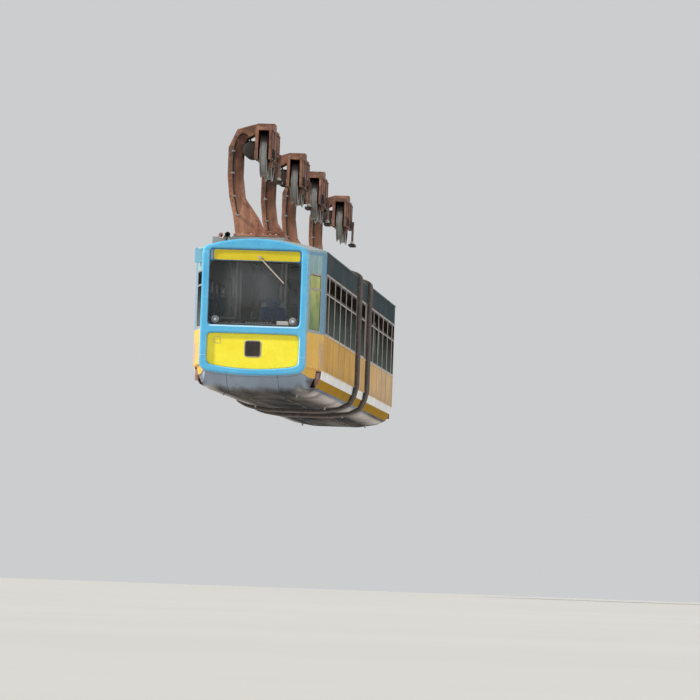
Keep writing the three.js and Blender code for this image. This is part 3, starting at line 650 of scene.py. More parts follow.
# %% Rubber and plastics
def rubber():
    """Nearly black, with grey dust in its grain."""
    f = Finish("rubber")
    base = f.mix(f.noise(6.0, (1, 1, 0.4)), "1d1a19", "2b2625")
    dust = f.less(f.noise(28.0, (1, 1, 0.5), 4.0, 0.6, 0.5, 0.75), 0.35)
    return f.end(f.mix(dust, base, "6a6058"), 0.55, 0.8, f.noise(9.0), f.noise(90.0), 0.0008, 0.4)


def plain_finish(name, a, b, low, high, grain=60.0, metal=0.0):
    """A moulded or painted finish: two close colours in clouds, a fine grain, and worn specks."""
    f = Finish(name, Metallic=metal)
    base = f.mix(f.noise(4.0), a, b)
    base = f.mix(f.less(f.noise(grain * 0.7, (1, 1, 1), 3.0, 0.6, 0.58, 0.7), 0.3), base, "4d4942")
    return f.end(base, low, high, f.noise(10.0), f.noise(grain), 0.0006, 0.35)


rubber_material = rubber()
grey_material = plain_finish("cab_grey", "6d7275", "7c8285", 0.45, 0.65)
pale_material = plain_finish("pale_fittings", "c4c4bd", "d3d2ca", 0.4, 0.6)
dark_material = plain_finish("dark_iron", "25211f", "39322e", 0.5, 0.75, 40.0, 0.3)
wiper_material = plain_finish("wiper_paint", "a59a8d", "bdb2a3", 0.4, 0.6)
horn_material = plain_finish("horn_paint", "c7aca4", "d6bfb6", 0.4, 0.6)
box_material = plain_finish("box_grey_blue", "8796a3", "98a6b1", 0.4, 0.6)
# the header's yellow is darker than the lower panel's: painted shade of the frame's top bar
shaded_header_material = plain_finish("header_yellow", "cdb812", "d8c41c", 0.25, 0.4, 240.0)
panel_material = plain_finish("panel_yellow", "f2e12a", "f8ea3c", 0.2, 0.35, 240.0)

# %% [markdown]
# ## Glass
# The side panes are dark brown with a dusty foot, the cab's own pane carries a painted green reflection
# of trees, and the windscreen is nearly clear. Glass that bends light is slow and noisy in thin panes.
# Here a share of each pane is simply see-through, and the rest is a tint. A pane that is seen at a flat
# angle would mirror the pale floor, so the gloss of the side panes is turned down.

# %% Glass
def glass(name, colour, alpha, gloss=0.5, foot=None, haze=0.0, cloud=(1.2, 0.35, 0.65)):
    """Tinted glass: two clouded tints, a dusty foot below the middle, haze in mid-pane, rain smears.
    On the cab's pane the tints and the darker foot are a painted reflection of trees.
    """
    f = Finish(name, Alpha=alpha, Specular_IOR_Level=gloss, Coat_Weight=gloss, Coat_Roughness=0.02)
    scale, low, high = cloud
    tint = f.mix(f.noise(scale, (1, 0.6, 0.6), 3.0, 0.5, low, high), colour[0], colour[1])
    if foot:
        ragged = f.plus(f.z, f.less(f.noise(1.1, (1, 0.5, 1), 2.0), 0.12))
        tint = f.mix(f.less(f.below(ragged, -2.16, 0.34), 0.60), tint, foot)
    if haze:
        heart = f.both(f.below(f.wide, 0.42, 0.16), f.above(f.z, -2.15, 0.12))
        f.feed("Alpha", f.plus(f.less(heart, haze), alpha))
    smear = f.noise(14.0, (1, 1, 0.3), 4.0, 0.6, 0.4, 0.8)
    return f.end(tint, 0.04, 0.12, smear, f.noise(0.5, (1, 1, 1), 1.0), 0.001, 0.05)


side_glass = glass("side_glass", ("1c1512", "26201c"), 0.66, 0.0, "7c8983")
front_glass = glass("front_glass", ("6a6f72", "8d9295"), 0.07, 0.5, None, 0.13)
# the cab's pane: yellow green clouds and a darker green foot, a painted reflection of trees
cab_glass = glass("cab_glass", ("d3d98c", "aeb67c"), 0.70, 0.0, "4d7c68", cloud=(4.5, 0.42, 0.60))
door_glass = glass("door_glass", ("15191a", "222a28"), 0.55, 0.25, "59645f")

# %% [markdown]
# ## Paint on the solids
# Each solid gets its finish by a word in its name. Picking them one by one would be slower, and a new
# solid would be forgotten. Only the material changes here: the meshes stay as the CAD part made them.

# %% Paint the CAD solids
FINISH_BY_WORD = (
    ("underframe", underframe_material), ("_roof", roof_material), ("nose_shell", nose_material),
    ("nose_glass", front_glass), ("pane", side_glass), ("wall", side_material), ("leaf", side_material),
    ("bellows", rubber_material), ("wheel", steel_material), ("bogie", rust_material),
    ("wiper", wiper_material),
)


def finish_for(name):
    """The finish of a solid, by the first of the words that its name holds; the rest are grey."""
    return next((finish for word, finish in FINISH_BY_WORD if word in name), grey_material)


for name, node in nodes.items():
    node.data.materials.clear()
    node.data.materials.append(finish_for(name))
print(len(nodes), "solids painted")

# %% [markdown]
# ## Window frames and panes
# The real panes sit almost flush with the skin, in narrow aluminium frames with a black seal. A
# cross bar splits each one, and the small light above it tips inwards. A frame could be cut out of a
# box. A profile carried round the opening gives true rounded corners in one go, and the same profile
# serves all sizes. Each pane fills its frame, so the long CAD panes behind the wall are replaced.

# %% Sizes of the body
ON_SKIN, ON_FLOOR = 1.1003, -3.2277  # trim starts 0.3 mm off the surface that it lies on
SECTION_END, MIDDLE_END = 1.88, 1.28  # the bellows lie between these lengths
SECTIONS = (("front", -1), ("rear", 1))  # each end, and the sign of its lengths
WALLS = (("window_side", 1), ("door_side", -1))  # each side, and the sign of its widths
FRONT_BODY, MIDDLE_BODY = "front_section", "middle_section"
print("sections end", SECTION_END, "m from mid-car, and the middle section at", MIDDLE_END, "m")

# %% Window tables
# far, near: distances from mid-car of each opening's ends
WINDOW_SIDE = [(10.50, 9.79), (9.67, 8.23), (8.11, 6.67), (6.55, 5.11), (4.99, 3.55), (3.43, 1.99)]
DOOR_SIDE = [(10.50, 9.76), (8.23, 6.93), (6.78, 5.92), (5.77, 4.47), (2.94, 1.99)]
MIDDLE = [(0.72, -0.72)]
SILL, HEAD, BAR, WINDOW_CORNER = -2.615, -1.625, -1.935, 0.055
# outward from the opening's edge, proud of the skin
FRAME_PROFILE = [(-0.012, -0.034), (-0.012, 0.002), (-0.009, 0.005), (0.015, 0.005), (0.019, 0.003),
                 (0.019, 0.0004), (-0.0006, 0.0004), (-0.0006, -0.034)]
SEAL_PROFILE = [(-0.022, -0.020), (-0.021, -0.003), (-0.0125, 0.0), (-0.0125, -0.020)]
LIGHT_PROFILE = [(-0.043, -0.014), (-0.043, -0.002), (-0.039, 0.001), (-0.026, 0.001),
                 (-0.0235, -0.002), (-0.0235, -0.014)]
print(2 * (len(WINDOW_SIDE) + len(DOOR_SIDE)) + 2 * len(MIDDLE), "openings")


# %% Frames, seals and panes
def window_shapes(windows, s, side):
    """Frames, seals and panes of a row of windows: rings round each opening, and boxes inside them."""
    frames, seals, panes = [], [], []
    for far, near in windows:
        y0, y1 = sorted((s * far, s * near))
        middle = (y0 + y1) / 2
        whole = rounded_path(y0, y1, SILL, HEAD, WINDOW_CORNER)
        top = rounded_path(y0, y1, BAR, HEAD, WINDOW_CORNER)
        bar = [side * (SKIN - 0.024), side * (SKIN + 0.002), y0 + 0.012, y1 - 0.012,
               BAR - 0.014, BAR + 0.010]
        catch = [side * (SKIN - 0.040), side * (SKIN - 0.020), middle - 0.05, middle + 0.05,
                 HEAD - 0.055, HEAD - 0.035]
        frames += [frame_ring(*whole, 0, side * SKIN, side, FRAME_PROFILE), boxes([bar, catch])]
        seals.append(frame_ring(*whole, 0, side * SKIN, side, SEAL_PROFILE))
        seals.append(frame_ring(*top, 0, side * SKIN, side, LIGHT_PROFILE))
        inner_face, outer_face = side * (SKIN - 0.013), side * (SKIN - 0.007)
        panes.append(
            boxes([[inner_face, outer_face, y0 + 0.008, y1 - 0.008, SILL + 0.008, HEAD - 0.008]])
        )
    return together(*frames), together(*seals), together(*panes)


def glaze(end, label, windows, s, side):
    """Makes one wall's frames, seals and glazing, and gives back the glazing."""
    frames, seals, panes = window_shapes(windows, s, side)
    body = f"{end}_section"
    make_piece(f"{end}_frames_{label}", frames, frame_material, body)
    make_piece(f"{end}_seals_{label}", seals, rubber_material, body)
    return make_piece(f"{end}_glazing_{label}", panes, side_glass, body, smooth=False)


for end, s in SECTIONS:
    for label, side in WALLS:
        glazing = glaze(end, label, WINDOW_SIDE if side > 0 else DOOR_SIDE, s, side)
        long_panes = [f"{end}_panes_{label}"]
        if side < 0:
            long_panes += [f"{end}_pane_near_cab", f"{end}_pane_near_gangway"]
        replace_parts(glazing, *long_panes)
for label, side in WALLS:
    glazing = glaze("middle", label, MIDDLE, 1, side)
    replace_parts(glazing, f"middle_panes_{label}")
print("24 window openings framed")

# %% [markdown]
# ## Side trim
# A pressed rail caps the yellow panel under the windows, a rain strip runs above them, and the
# sheets of the side are held by cover strips with rows of screws. A bump map could hint at them, but
# real edges catch the light as thin lines also where the side is seen almost along its length.

# %% Rails, cover strips and screws
RAILS = [(-2.652, -2.636, 0.010), (-1.606, -1.594, 0.007), (-3.232, -3.222, 0.006)]  # z0, z1, proud
POSTS, MIDDLE_POSTS = (9.73, 8.17, 6.61, 5.05, 3.49, 1.935), (-0.78, 0.78)
DOORS, DOORWAY_HALF = [9.0, 3.7], 0.655
DOORWAYS = [(c + DOORWAY_HALF, c - DOORWAY_HALF) for c in DOORS]


def half_ball_rows(centres, radius, side):
    """Low domed screw heads on a side wall: rings of radius r cos t at a height of 0.4 r sin t."""
    t = np.linspace(0, np.pi / 2, 4)
    profile = np.stack([0.4 * radius * np.sin(t), radius * np.cos(t)], 1)
    profile = np.concatenate([[[0.0, 0.0]], profile])
    return repeated(turned(profile, (0, 0, 0), (side, 0, 0), 8), centres)


def trim_boxes(stretches, posts, side):
    """The rails along each stretch, and a cover strip at each post below and above the windows."""
    rails = [[side * ON_SKIN, side * (SKIN + proud), a, b, z0, z1]
             for a, b in stretches for z0, z1, proud in RAILS]
    low = [[side * ON_SKIN, side * 1.104, y - 0.022, y + 0.022, -3.215, -2.656] for y in posts]
    high = [[side * ON_SKIN, side * 1.103, y - 0.018, y + 0.018, -1.592, -1.27] for y in posts]
    return boxes(rails + low + high)


for end, s in SECTIONS:
    for label, side in WALLS:
        gaps = DOORWAYS if side < 0 else []
        starts = [CAB_END - 0.002] + [near - 0.03 for _, near in gaps]
        stops = [far + 0.03 for far, _ in gaps] + [SECTION_END + 0.002]
        posts = [s * y for y in POSTS if all(not (near < y < far) for far, near in gaps)]
        heights = np.arange(-3.19, -2.67, 0.086)
        heads = np.array(
            [[side * 1.104, y + d, z] for y in posts for z in heights for d in (-0.011, 0.011)]
        )
        rails = trim_boxes([(s * a, s * b) for a, b in zip(starts, stops)], posts, side)
        strips = together(rails, half_ball_rows(heads, 0.006, side))
        make_piece(f"{end}_side_trim_{label}", strips, side_material, f"{end}_section")
for label, side in WALLS:
    strips = trim_boxes([(0.002 - MIDDLE_END, MIDDLE_END - 0.002)], MIDDLE_POSTS, side)
    make_piece(f"middle_side_trim_{label}", strips, side_material, MIDDLE_BODY)
print("side trim laid on 6 walls")

# %% [markdown]
# ## Doors
# Each doorway has two leaves that swing out. A leaf has a tall pane in a rubber seal, a soft edge
# where it meets the other, an inner grab bar and a low kick plate. These could be modelled on the
# closed door as a whole, but then they would stay behind when it opens, so each rides on its own leaf.

# %% Door leaves
DOOR_SEAL = [(-0.018, -0.024), (-0.018, -0.006), (-0.006, 0.004), (0.012, 0.004), (0.016, 0.0005),
             (0.0005, 0.0005), (-0.0005, -0.024)]


def dress_leaf(body, jamb, meet, side):
    """Seal, soft edge, kick plate, pane and grab bar of one leaf, from its jamb to its meeting edge."""
    y0, y1 = sorted((jamb, meet))
    seal = frame_ring(
        *rounded_path(y0 + 0.080, y1 - 0.080, -2.980, -1.430, 0.060), 0, -SKIN, -1, DOOR_SEAL
    )
    lip = meet - side * 0.001
    edge = rods([[-1.094, lip, -3.215, -1.094, lip, -1.345, 0.005]], 8)
    foot = boxes([[-1.1045, -1.0995, y0 + 0.02, y1 - 0.02, -3.226, -3.212]])
    make_piece(f"{body}_seal", together(seal, edge, foot), rubber_material, body)
    pane = boxes([[-1.0865, -1.0805, y0 + 0.076, y1 - 0.076, -2.984, -1.426]])
    make_piece(f"{body}_glass", pane, door_glass, body, smooth=False)
    y = meet + side * 0.115
    bar = rods([[-1.035, y, -2.75, -1.035, y, -1.75, 0.014],
                [-1.066, y, -2.70, -1.035, y, -2.70, 0.009],
                [-1.066, y, -1.80, -1.035, y, -1.80, 0.009]], 10)
    make_piece(f"{body}_grab_bar", bar, frame_material, body)


for end, s in SECTIONS:
    for number, centre in enumerate(DOORS, 1):
        for leaf, side in (("a", -1), ("b", 1)):
            body = f"{end}_door_{number}_leaf_{leaf}"
            dress_leaf(body, s * centre + side * 0.643, s * centre + side * 0.005, side)
        y0, y1 = s * centre - DOORWAY_HALF, s * centre + DOORWAY_HALF
        surround = boxes([
            [-1.106, -ON_SKIN, y0 - 0.028, y0 - 0.002, -3.225, -1.302],
            [-1.106, -ON_SKIN, y1 + 0.002, y1 + 0.028, -3.225, -1.302],
            [-1.106, -ON_SKIN, y0 - 0.028, y1 + 0.028, -1.328, -1.302],
            [-1.112, -ON_SKIN, y0 - 0.02, y1 + 0.02, -3.243, -3.231],
        ])
        name = f"{end}_doorway_{number}_surround"
        make_piece(name, surround, frame_material, f"{end}_section", bevel=0.0015)
print("8 door leaves glazed")

# %% [markdown]
# ## The nose panels
# Inside the blue frame a yellow header strip, a dark seal, the big windscreen and a domed yellow
# lower panel are set back. The plates on them are blank. Flat quads would look like card, so each
# panel is a set of shrinking rings that rise to its middle, which bends the light a little.

# %% Outlines in the face
def crowned_path(w, top, bottom, sag, rt, rb, steps=7):
    """A closed outline in x and z: flat top, rounded corners, bottom edge that sags as x squared."""
    a = np.linspace(0, np.pi / 2, steps)
    right_top = np.stack([w - rt + rt * np.sin(a), top - rt + rt * np.cos(a)], 1)
    right_low = np.stack([w - rb + rb * np.cos(a), bottom + sag + rb - rb * np.sin(a)], 1)
    x = np.linspace(w - rb, 0, 6)[1:]
    low = np.stack([x, bottom + sag * (x / (w - rb)) ** 2], 1)
    half = np.concatenate([right_top, right_low, low])
    return np.concatenate([half, (half * [-1, 1])[:-1][::-1]])


SET_BACK, ON_SET_BACK = 11.985, 11.986  # the face inside the frame, and where trim on it starts
LOWER_PANEL = crowned_path(0.758, -2.715, -3.288, 0.055, 0.062, 0.102)
SCREEN_SEAL = [(-0.016, -0.044), (-0.016, 0.004), (-0.008, 0.009), (0.004, 0.009), (0.008, 0.0005),
               (-0.001, 0.0005), (-0.001, -0.044)]
PLATE_RIM = [(-0.012, 0.0), (-0.012, 0.006), (0.004, 0.006), (0.006, 0.0)]
HATCH_RIM = [(-0.003, 0.0), (-0.003, 0.0035), (0.003, 0.0035), (0.003, 0.0)]
print(len(LOWER_PANEL), "points round the lower panel")

# %% The face
for end, s in SECTIONS:
    body = f"{end}_section"
    strip = rounded_plate(-0.700, 0.742, -1.487, -1.318, 0.035, 1, s * 11.9855, s, 0.005, 0.004)
    make_piece(f"{end}_header_strip", strip, shaded_header_material, body)
    number_box = rounded_plate(-0.752, -0.715, -1.487, -1.325, 0.010, 1, s * 11.9855, s, 0.006, 0.002)
    make_piece(f"{end}_header_box", number_box, box_material, body)
    panel = domed_plate(LOWER_PANEL, 1, s * 11.9842, s, 0.0020, 0.0010)
    make_piece(f"{end}_lower_panel", panel, panel_material, body)
    rim_path = rounded_path(-0.136, 0.136, -3.094, -2.822, 0.045)
    rim = frame_ring(*rim_path, 1, s * ON_SET_BACK, s, PLATE_RIM)
    make_piece(f"{end}_plate_rim", rim, frame_material, body)
    hatch_path = rounded_path(-0.650, -0.545, -2.880, -2.775, 0.012)
    hatch = frame_ring(*hatch_path, 1, s * ON_SET_BACK, s, HATCH_RIM)
    make_piece(f"{end}_hatch_frame", hatch, frame_material, body)
    plate = rounded_plate(-0.126, 0.126, -3.084, -2.832, 0.036, 1, s * ON_SET_BACK, s, 0.004, 0.001)
    make_piece(f"{end}_blank_plate", plate, dark_material, body)
    screen_path = rounded_path(-0.750, 0.750, -2.564, -1.508, 0.075)
    seal = frame_ring(*screen_path, 1, s * SET_BACK, s, SCREEN_SEAL)
    make_piece(f"{end}_windscreen_seal", seal, rubber_material, body)
print("2 faces dressed")

# %% [markdown]
# ## Windows of the tapering cab
# The cab's side panes follow walls that come closer together towards the face. They could be made
# flat and then turned, but a turned piece would leave its finish behind. So they are made flat, and
# each point is then moved to the width that the wall has at that length.

# %% Cab windows
def nose_skin(y):
    """Half width of the nose at a length y: the skin's, less the taper for each metre of nose."""
    return SKIN - NOSE_TAPER * (np.abs(y) - CAB_END)


def slab_on_nose(side, y0, y1, z0, z1, inner, outer):
    """A flat bar or pane between two depths, counted outward from the nose's skin."""
    points, faces = boxes([[-0.5, 0.5, y0, y1, z0, z1]])
    points[:, 0] = side * (nose_skin(points[:, 1]) + np.where(points[:, 0] > 0, outer, inner))
    return points, faces


for end, s in SECTIONS:
    body = f"{end}_section"
    y0, y1 = sorted((s * 10.96, s * 11.70))
    path, out = rounded_path(y0, y1, -2.600, -1.660, 0.045)
    for label, side in WALLS:
        rings = []
        for profile in (FRAME_PROFILE, SEAL_PROFILE):
            points, faces = frame_ring(path, out, 0, 0.0, side, profile)
            points[:, 0] += side * nose_skin(points[:, 1])
            rings.append((points, faces))
        bar = slab_on_nose(side, y0 + 0.012, y1 - 0.012, -1.915, -1.885, -0.030, 0.004)
        pane = slab_on_nose(side, y0 + 0.010, y1 - 0.010, -2.592, -1.668, -0.013, -0.007)
        # the window side's cab pane carries a painted reflection of trees
        tint = cab_glass if side > 0 else side_glass
        make_piece(f"{end}_cab_frame_{label}", together(rings[0], bar), frame_material, body)
        make_piece(f"{end}_cab_seal_{label}", rings[1], rubber_material, body)
        make_piece(f"{end}_cab_glazing_{label}", pane, tint, body, smooth=False)
print("4 cab windows glazed")

# %% [markdown]
# ## Wheels
# A wheel has a polished tread between two flanges, a dished web darkened by grease, a ring of bolts
# and a hub. It is turned on a lathe, and here its profile is turned in the same way, with 64 sides.
# Subdividing the solid wheel would round off its flanges too, so each new wheel replaces it.

# %% Wheel finish
AXLES, AXLE_HEIGHT, HALF_WHEELBASE = [10.85, 9.75, 3.20, 2.10], 0.35, 0.55
BOGIES = [(1, -10.30), (2, -2.65), (3, 2.65), (4, 10.30)]


def wheel_steel():
    """Bare steel past 343 mm from the nearest axle, grease within: r = sqrt(reach^2 + rise^2)."""
    f = Finish("wheel_steel", Metallic=0.8)
    rise = f.minus(f.z, AXLE_HEIGHT)
    rise = f.both(rise, rise)
    radius = None
    for axle in AXLES:
        reach = f.minus(f.along, axle)
        here = f.math("SQRT", f.plus(f.both(reach, reach), rise))
        radius = here if radius is None else f.math("MINIMUM", radius, here)
    web = f.mix(f.noise(7.0, (1, 1, 1), 5.0, 0.6), "5a4a3f", "3c332e")
    web = f.mix(f.less(f.noise(30.0, (1, 1, 1), 3.0, 0.6, 0.5, 0.7), 0.6), web, "8a5a3c")
    bright = f.mix(f.lines(radius, 0.006, 0.001), "a19f9b", "7f7c78")
    colour = f.mix(f.above(radius, 0.343, 0.004), web, bright)
    return f.end(colour, 0.25, 0.6, f.noise(20.0), f.noise(60.0), 0.0008, 0.4)


wheel_material = wheel_steel()

# %% Wheel profile and bolts
# distance from the wheel's middle plane, radius
HALF_WHEEL = [(0.034, 0.3500), (0.037, 0.3545), (0.042, 0.3690), (0.046, 0.3810), (0.050, 0.3850),
              (0.056, 0.3842), (0.0605, 0.3790), (0.062, 0.3720), (0.062, 0.3140), (0.054, 0.3060),
              (0.032, 0.2870), (0.030, 0.2600), (0.034, 0.1200), (0.040, 0.0930), (0.060, 0.0830),
              (0.064, 0.0620), (0.086, 0.0550), (0.0892, 0.0500), (0.0892, 0.0)]
WHEEL = [(-x, r) for x, r in HALF_WHEEL[::-1]] + HALF_WHEEL


def circle_of(count, radius):
    """Points evenly round a circle, as pairs (cos, sin) times the radius."""
    a = 2 * np.pi * np.arange(count) / count
    return np.stack([radius * np.cos(a), radius * np.sin(a)], 1)


def bolt(axis, radius=0.011, height=0.010):
    """A six-sided bolt head along an axis, its edge broken by a small slope, on a thin round washer."""
    head = [
        (0.002, 0.0), (0.002, radius), (height * 0.8, radius), (height, radius * 0.8), (height, 0.0)
    ]
    washer = [(0.0, 0.0), (0.0, radius * 1.35), (0.002, radius * 1.35), (0.002, 0.0)]
    return together(turned(head, (0, 0, 0), axis, 6), turned(washer, (0, 0, 0), axis, 12))


def bolt_circle(side, x, centre, count, radius, *size):
    """Bolts evenly round a circle, on the face at a distance x from the centre on one side."""
    spots = np.concatenate([np.full((count, 1), side * x), circle_of(count, radius)], 1)
    return repeated(bolt((side, 0, 0), *size), spots + centre)


for number, y in BOGIES:
    for label, dy in (("front", -HALF_WHEELBASE), ("rear", HALF_WHEELBASE)):
        centre = np.array([0.0, y + dy, AXLE_HEIGHT])
        disc = turned(WHEEL, centre, (1, 0, 0), 64)
        bolts = [bolt_circle(side, 0.0305, centre, 10, 0.205) for side in (1, -1)]
        bolts += [bolt_circle(side, 0.0885, centre, 5, 0.034, 0.006, 0.0008) for side in (1, -1)]
        body = f"bogie_{number}_{label}_wheel"
        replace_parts(make_piece(f"{body}_turned", together(disc, *bolts), wheel_material, body), body)
print("8 wheels turned,", len(WHEEL), "points in the profile")

# %% [markdown]
# ## Bogies and arms
# On each bogie's frame sit axle box covers, ribs, a finned motor, brake gear and a sprung current
# collector, and the hooked arm carries wiring and the bolts of its foot. One bogie could be made and
# copied as an object, but a finished piece lies at the origin, so each is worked out in its place.

# %% Axle boxes, ribs and bolts
CHEEK, ARM_FOOT, FRAME_TOP = 0.1303, -0.9758, 0.8052  # surfaces that the fittings stand on
COVER = [
    (0.0, 0.0), (0.0, 0.105), (0.014, 0.105), (0.020, 0.088), (0.040, 0.080), (0.046, 0.070),
    (0.046, 0.0)
]


def dress_frame(body, y):
    """Axle box covers, ribs on both cheeks, and rows of bolts on the frame and on the arm's foot."""
    covers, heads = [], []
    for axle in (y - HALF_WHEELBASE, y + HALF_WHEELBASE):
        for side in (1, -1):
            covers.append(turned(COVER, (side * CHEEK, axle, AXLE_HEIGHT), (side, 0, 0), 32))
            heads.append(bolt_circle(side, 0.1443, [0.0, axle, AXLE_HEIGHT], 6, 0.096, 0.009, 0.009))
    make_piece(f"{body}_axle_boxes", together(*covers, *heads), dark_material, body)
    ribs = [[side * CHEEK, side * 0.146, y + d - 0.008, y + d + 0.008, 0.275, 0.742]
            for side in (1, -1) for d in (-0.88, -0.30, 0.30, 0.88)]
    ribs += [[side * CHEEK, side * 0.150, y - 0.925, y + 0.925, z, z + 0.016]
             for side in (1, -1) for z in (0.262, 0.742)]
    make_piece(f"{body}_frame_ribs", boxes(ribs), rust_material, body, bevel=0.002)
    top = [[x, y + d, FRAME_TOP] for x in (-0.1, 0.1) for d in np.arange(-0.85, 0.9, 0.17)]
    foot = [[x, y + d, ARM_FOOT] for x in (-0.47, 0.21) for d in (-0.24, -0.12, 0.12, 0.24)]
    foot += [[x, y + d, ARM_FOOT] for x in (-0.35, -0.20, 0.0, 0.12) for d in (-0.255, 0.255)]
    bolts = together(
        repeated(bolt((0, 0, 1), 0.013), top), repeated(bolt((0, 0, 1), 0.016, 0.014), foot)
    )
    make_piece(f"{body}_bolts", bolts, steel_material, body)


print("rim of an axle box", round(1000 * (COVER[1][1] - 0.096), 1), "mm outside its bolts")

# %% Motor and wiring
FIN = [(-0.006, 0.112), (-0.006, 0.134), (0.006, 0.134), (0.006, 0.112)]
MOTOR_END = [
    (0.338, 0.0), (0.338, 0.118), (0.344, 0.126), (0.356, 0.126), (0.362, 0.110), (0.366, 0.04),
    (0.366, 0.0)
]
# the wiring's way in x and z, up the arm and over to the frame
WIRING = [(-0.30, -0.95), (-0.42, -0.72), (-0.50, -0.40), (-0.545, -0.05), (-0.555, 0.30),
          (-0.52, 0.58), (-0.42, 0.72), (-0.30, 0.66), (-0.265, 0.575)]
CLIPS = ((-0.44, -0.66), (-0.512, -0.34), (-0.55, 0.05), (-0.55, 0.42))


def smooth_line(points, count):
    """A curve through points: a cubic in each span, its slopes taken from the points on both sides."""
    p = np.asarray(points, float)
    p = np.concatenate([[2 * p[0] - p[1]], p, [2 * p[-1] - p[-2]]])
    t = np.linspace(0, len(points) - 1 - 1e-9, count)
    i, u = np.floor(t).astype(int), (t % 1)[:, None]
    a, b, c, d = p[i], p[i + 1], p[i + 2], p[i + 3]
    return 0.5 * (
        2 * b + (c - a) * u + (2 * a - 5 * b + 4 * c - d) * u ** 2 + (3 * b - a - 3 * c + d) * u ** 3
    )


def dress_motor(body, y):
    """Fins in a row, end covers and a terminal box; four conduits swing out round the arm and back."""
    centre, steps = (-0.262, y, 0.44), np.arange(-0.30, 0.301, 0.03)
    fins = repeated(turned(FIN, centre, (0, 1, 0), 32), np.stack([steps * 0, steps, steps * 0], 1))
    ends = [turned(MOTOR_END, centre, (0, d, 0), 32) for d in (1, -1)]
    box_top = boxes([[-0.33, -0.20, y - 0.09, y + 0.09, 0.545, 0.60],
                     [-0.335, -0.195, y - 0.095, y + 0.095, 0.600, 0.607]])
    make_piece(f"{body}_motor_case", together(fins, *ends, box_top), dark_material, body)
    line = smooth_line(WIRING, 60)
    aside = y - 0.245 * np.sin(np.linspace(0, np.pi, 60)) ** 0.35
    lines = [pipe(np.stack([line[:, 0], aside + shift * 0.7, line[:, 1]], 1), 0.011, 8)
             for shift in (-0.05, -0.018, 0.014, 0.046)]
    make_piece(f"{body}_conduit", together(*lines), rubber_material, body)
    clips = boxes([[x - 0.03, x + 0.03, y - 0.300, y - 0.170, z - 0.014, z + 0.014] for x, z in CLIPS])
    make_piece(f"{body}_conduit_clips", clips, steel_material, body, bevel=0.002)


print(len(CLIPS), "clips hold the wiring of an arm")

# %% Collector and brakes, and all four bogies
SHEDS = [(0.0, 0.0), (0.0, 0.024), (0.008, 0.024), (0.012, 0.036), (0.018, 0.024), (0.026, 0.036),
         (0.032, 0.024), (0.040, 0.036), (0.046, 0.024), (0.060, 0.020), (0.060, 0.0)]


def dress_collector(body, y):
    """Two ribbed insulators, the shoe with its turned-up ends, and the spring above it."""
    posts = [turned(SHEDS, (0.215, y + d, -0.058), (0, 0, 1), 20) for d in (-0.11, 0.11)]
    make_piece(f"{body}_insulators", together(*posts), pale_material, body)
    shoe = boxes([[0.170, 0.262, y - 0.165, y + 0.165, -0.106, -0.0965],
                  [0.150, 0.282, y - 0.175, y - 0.160, -0.100, -0.050],
                  [0.150, 0.282, y + 0.160, y + 0.175, -0.100, -0.050]])
    make_piece(f"{body}_collector_shoe", shoe, dark_material, body, bevel=0.002)
    spring = coil((0.216, y - 0.075, 0.03), 0.018, 0.20, 8, 0.0035)
    make_piece(f"{body}_collector_spring", spring, steel_material, body)


def dress_brakes(body, y):
    """Two blocks between the wheels, hung on upright rods and joined by a level one."""
    brakes = boxes([[-0.06, 0.06, y + d - 0.028, y + d + 0.028, 0.28, 0.42] for d in (-0.145, 0.145)])
    rigging = rods([[0, y - 0.13, 0.40, 0, y + 0.13, 0.40, 0.016]]
                   + [[0, y + d, 0.30, 0, y + d, 0.62, 0.012] for d in (-0.145, 0.145)])
    make_piece(f"{body}_brake_blocks", together(brakes, rigging), dark_material, body, bevel=0.003)


for number, y in BOGIES:
    for dress in (dress_frame, dress_motor, dress_collector, dress_brakes):
        dress(f"bogie_{number}", y)
print("4 bogies fitted out")

# %% [markdown]
# ## Bellows
# The gap between two sections is closed by a folded rubber tube. A bump map would leave its edge
# straight, so the folds are real: a shell with many small folds is carried round the car's outline.
# Its clamps ride on the bodies at its two ends, and the folded shell is tied to no body.

# %% Outline of the body
def car_outline():
    """The body's cross-section in x and z, from the roof's crown down one side and up the other."""
    t = np.linspace(0, 1, 10)
    roof_part = np.stack([1.065 * t, -1.050 - 0.1673 * t ** 2], 1)
    a = np.linspace(np.radians(72.5), 0, 6)[1:]
    corner = np.stack([1.05 + 0.05 * np.cos(a), -1.265 + 0.05 * np.sin(a)], 1)
    wall = np.stack([np.full(5, SKIN), np.linspace(-1.6, -3.1, 5)], 1)
    foot = [(1.098, -3.20), (1.092, -3.245), (1.078, -3.29), (1.066, -3.345), (1.052, -3.385),
            (1.034, -3.425), (1.010, -3.475), (0.975, -3.53), (0.92, -3.562), (0.85, -3.598),
            (0.76, -3.624), (0.62, -3.646), (0.45, -3.668), (0.22, -3.670), (0.0, -3.670)]
    half = np.concatenate([roof_part, corner, wall, foot])
    return np.concatenate([half, (half * [-1, 1])[1:-1][::-1]])


def outward_of(path):
    """Outward direction at each point of a closed outline: square to its neighbours' chord."""
    chord = np.roll(path, -1, 0) - np.roll(path, 1, 0)
    out = np.stack([chord[:, 1], -chord[:, 0]], 1)
    out /= np.linalg.norm(out, axis=1, keepdims=True)
    return out * np.sign(np.sum(out * (path - path.mean(0)), 1).sum())


OUTLINE = car_outline()
OUTWARD = outward_of(OUTLINE)


def body_rings(outward, y):
    """The outline moved outward by each distance, at each length y: one row of points for each pair."""
    flat = OUTLINE[None] + OUTWARD[None] * np.asarray(outward)[:, None, None]
    lengths = np.broadcast_to(np.asarray(y)[:, None], flat.shape[:2])
    return np.stack([flat[..., 0], lengths, flat[..., 1]], -1)


print(len(OUTLINE), "points round the body")

# %% Folds and clamps
FOLDS, FOLD_SPAN, RUBBER_THICK = 5, 0.5994, 0.009


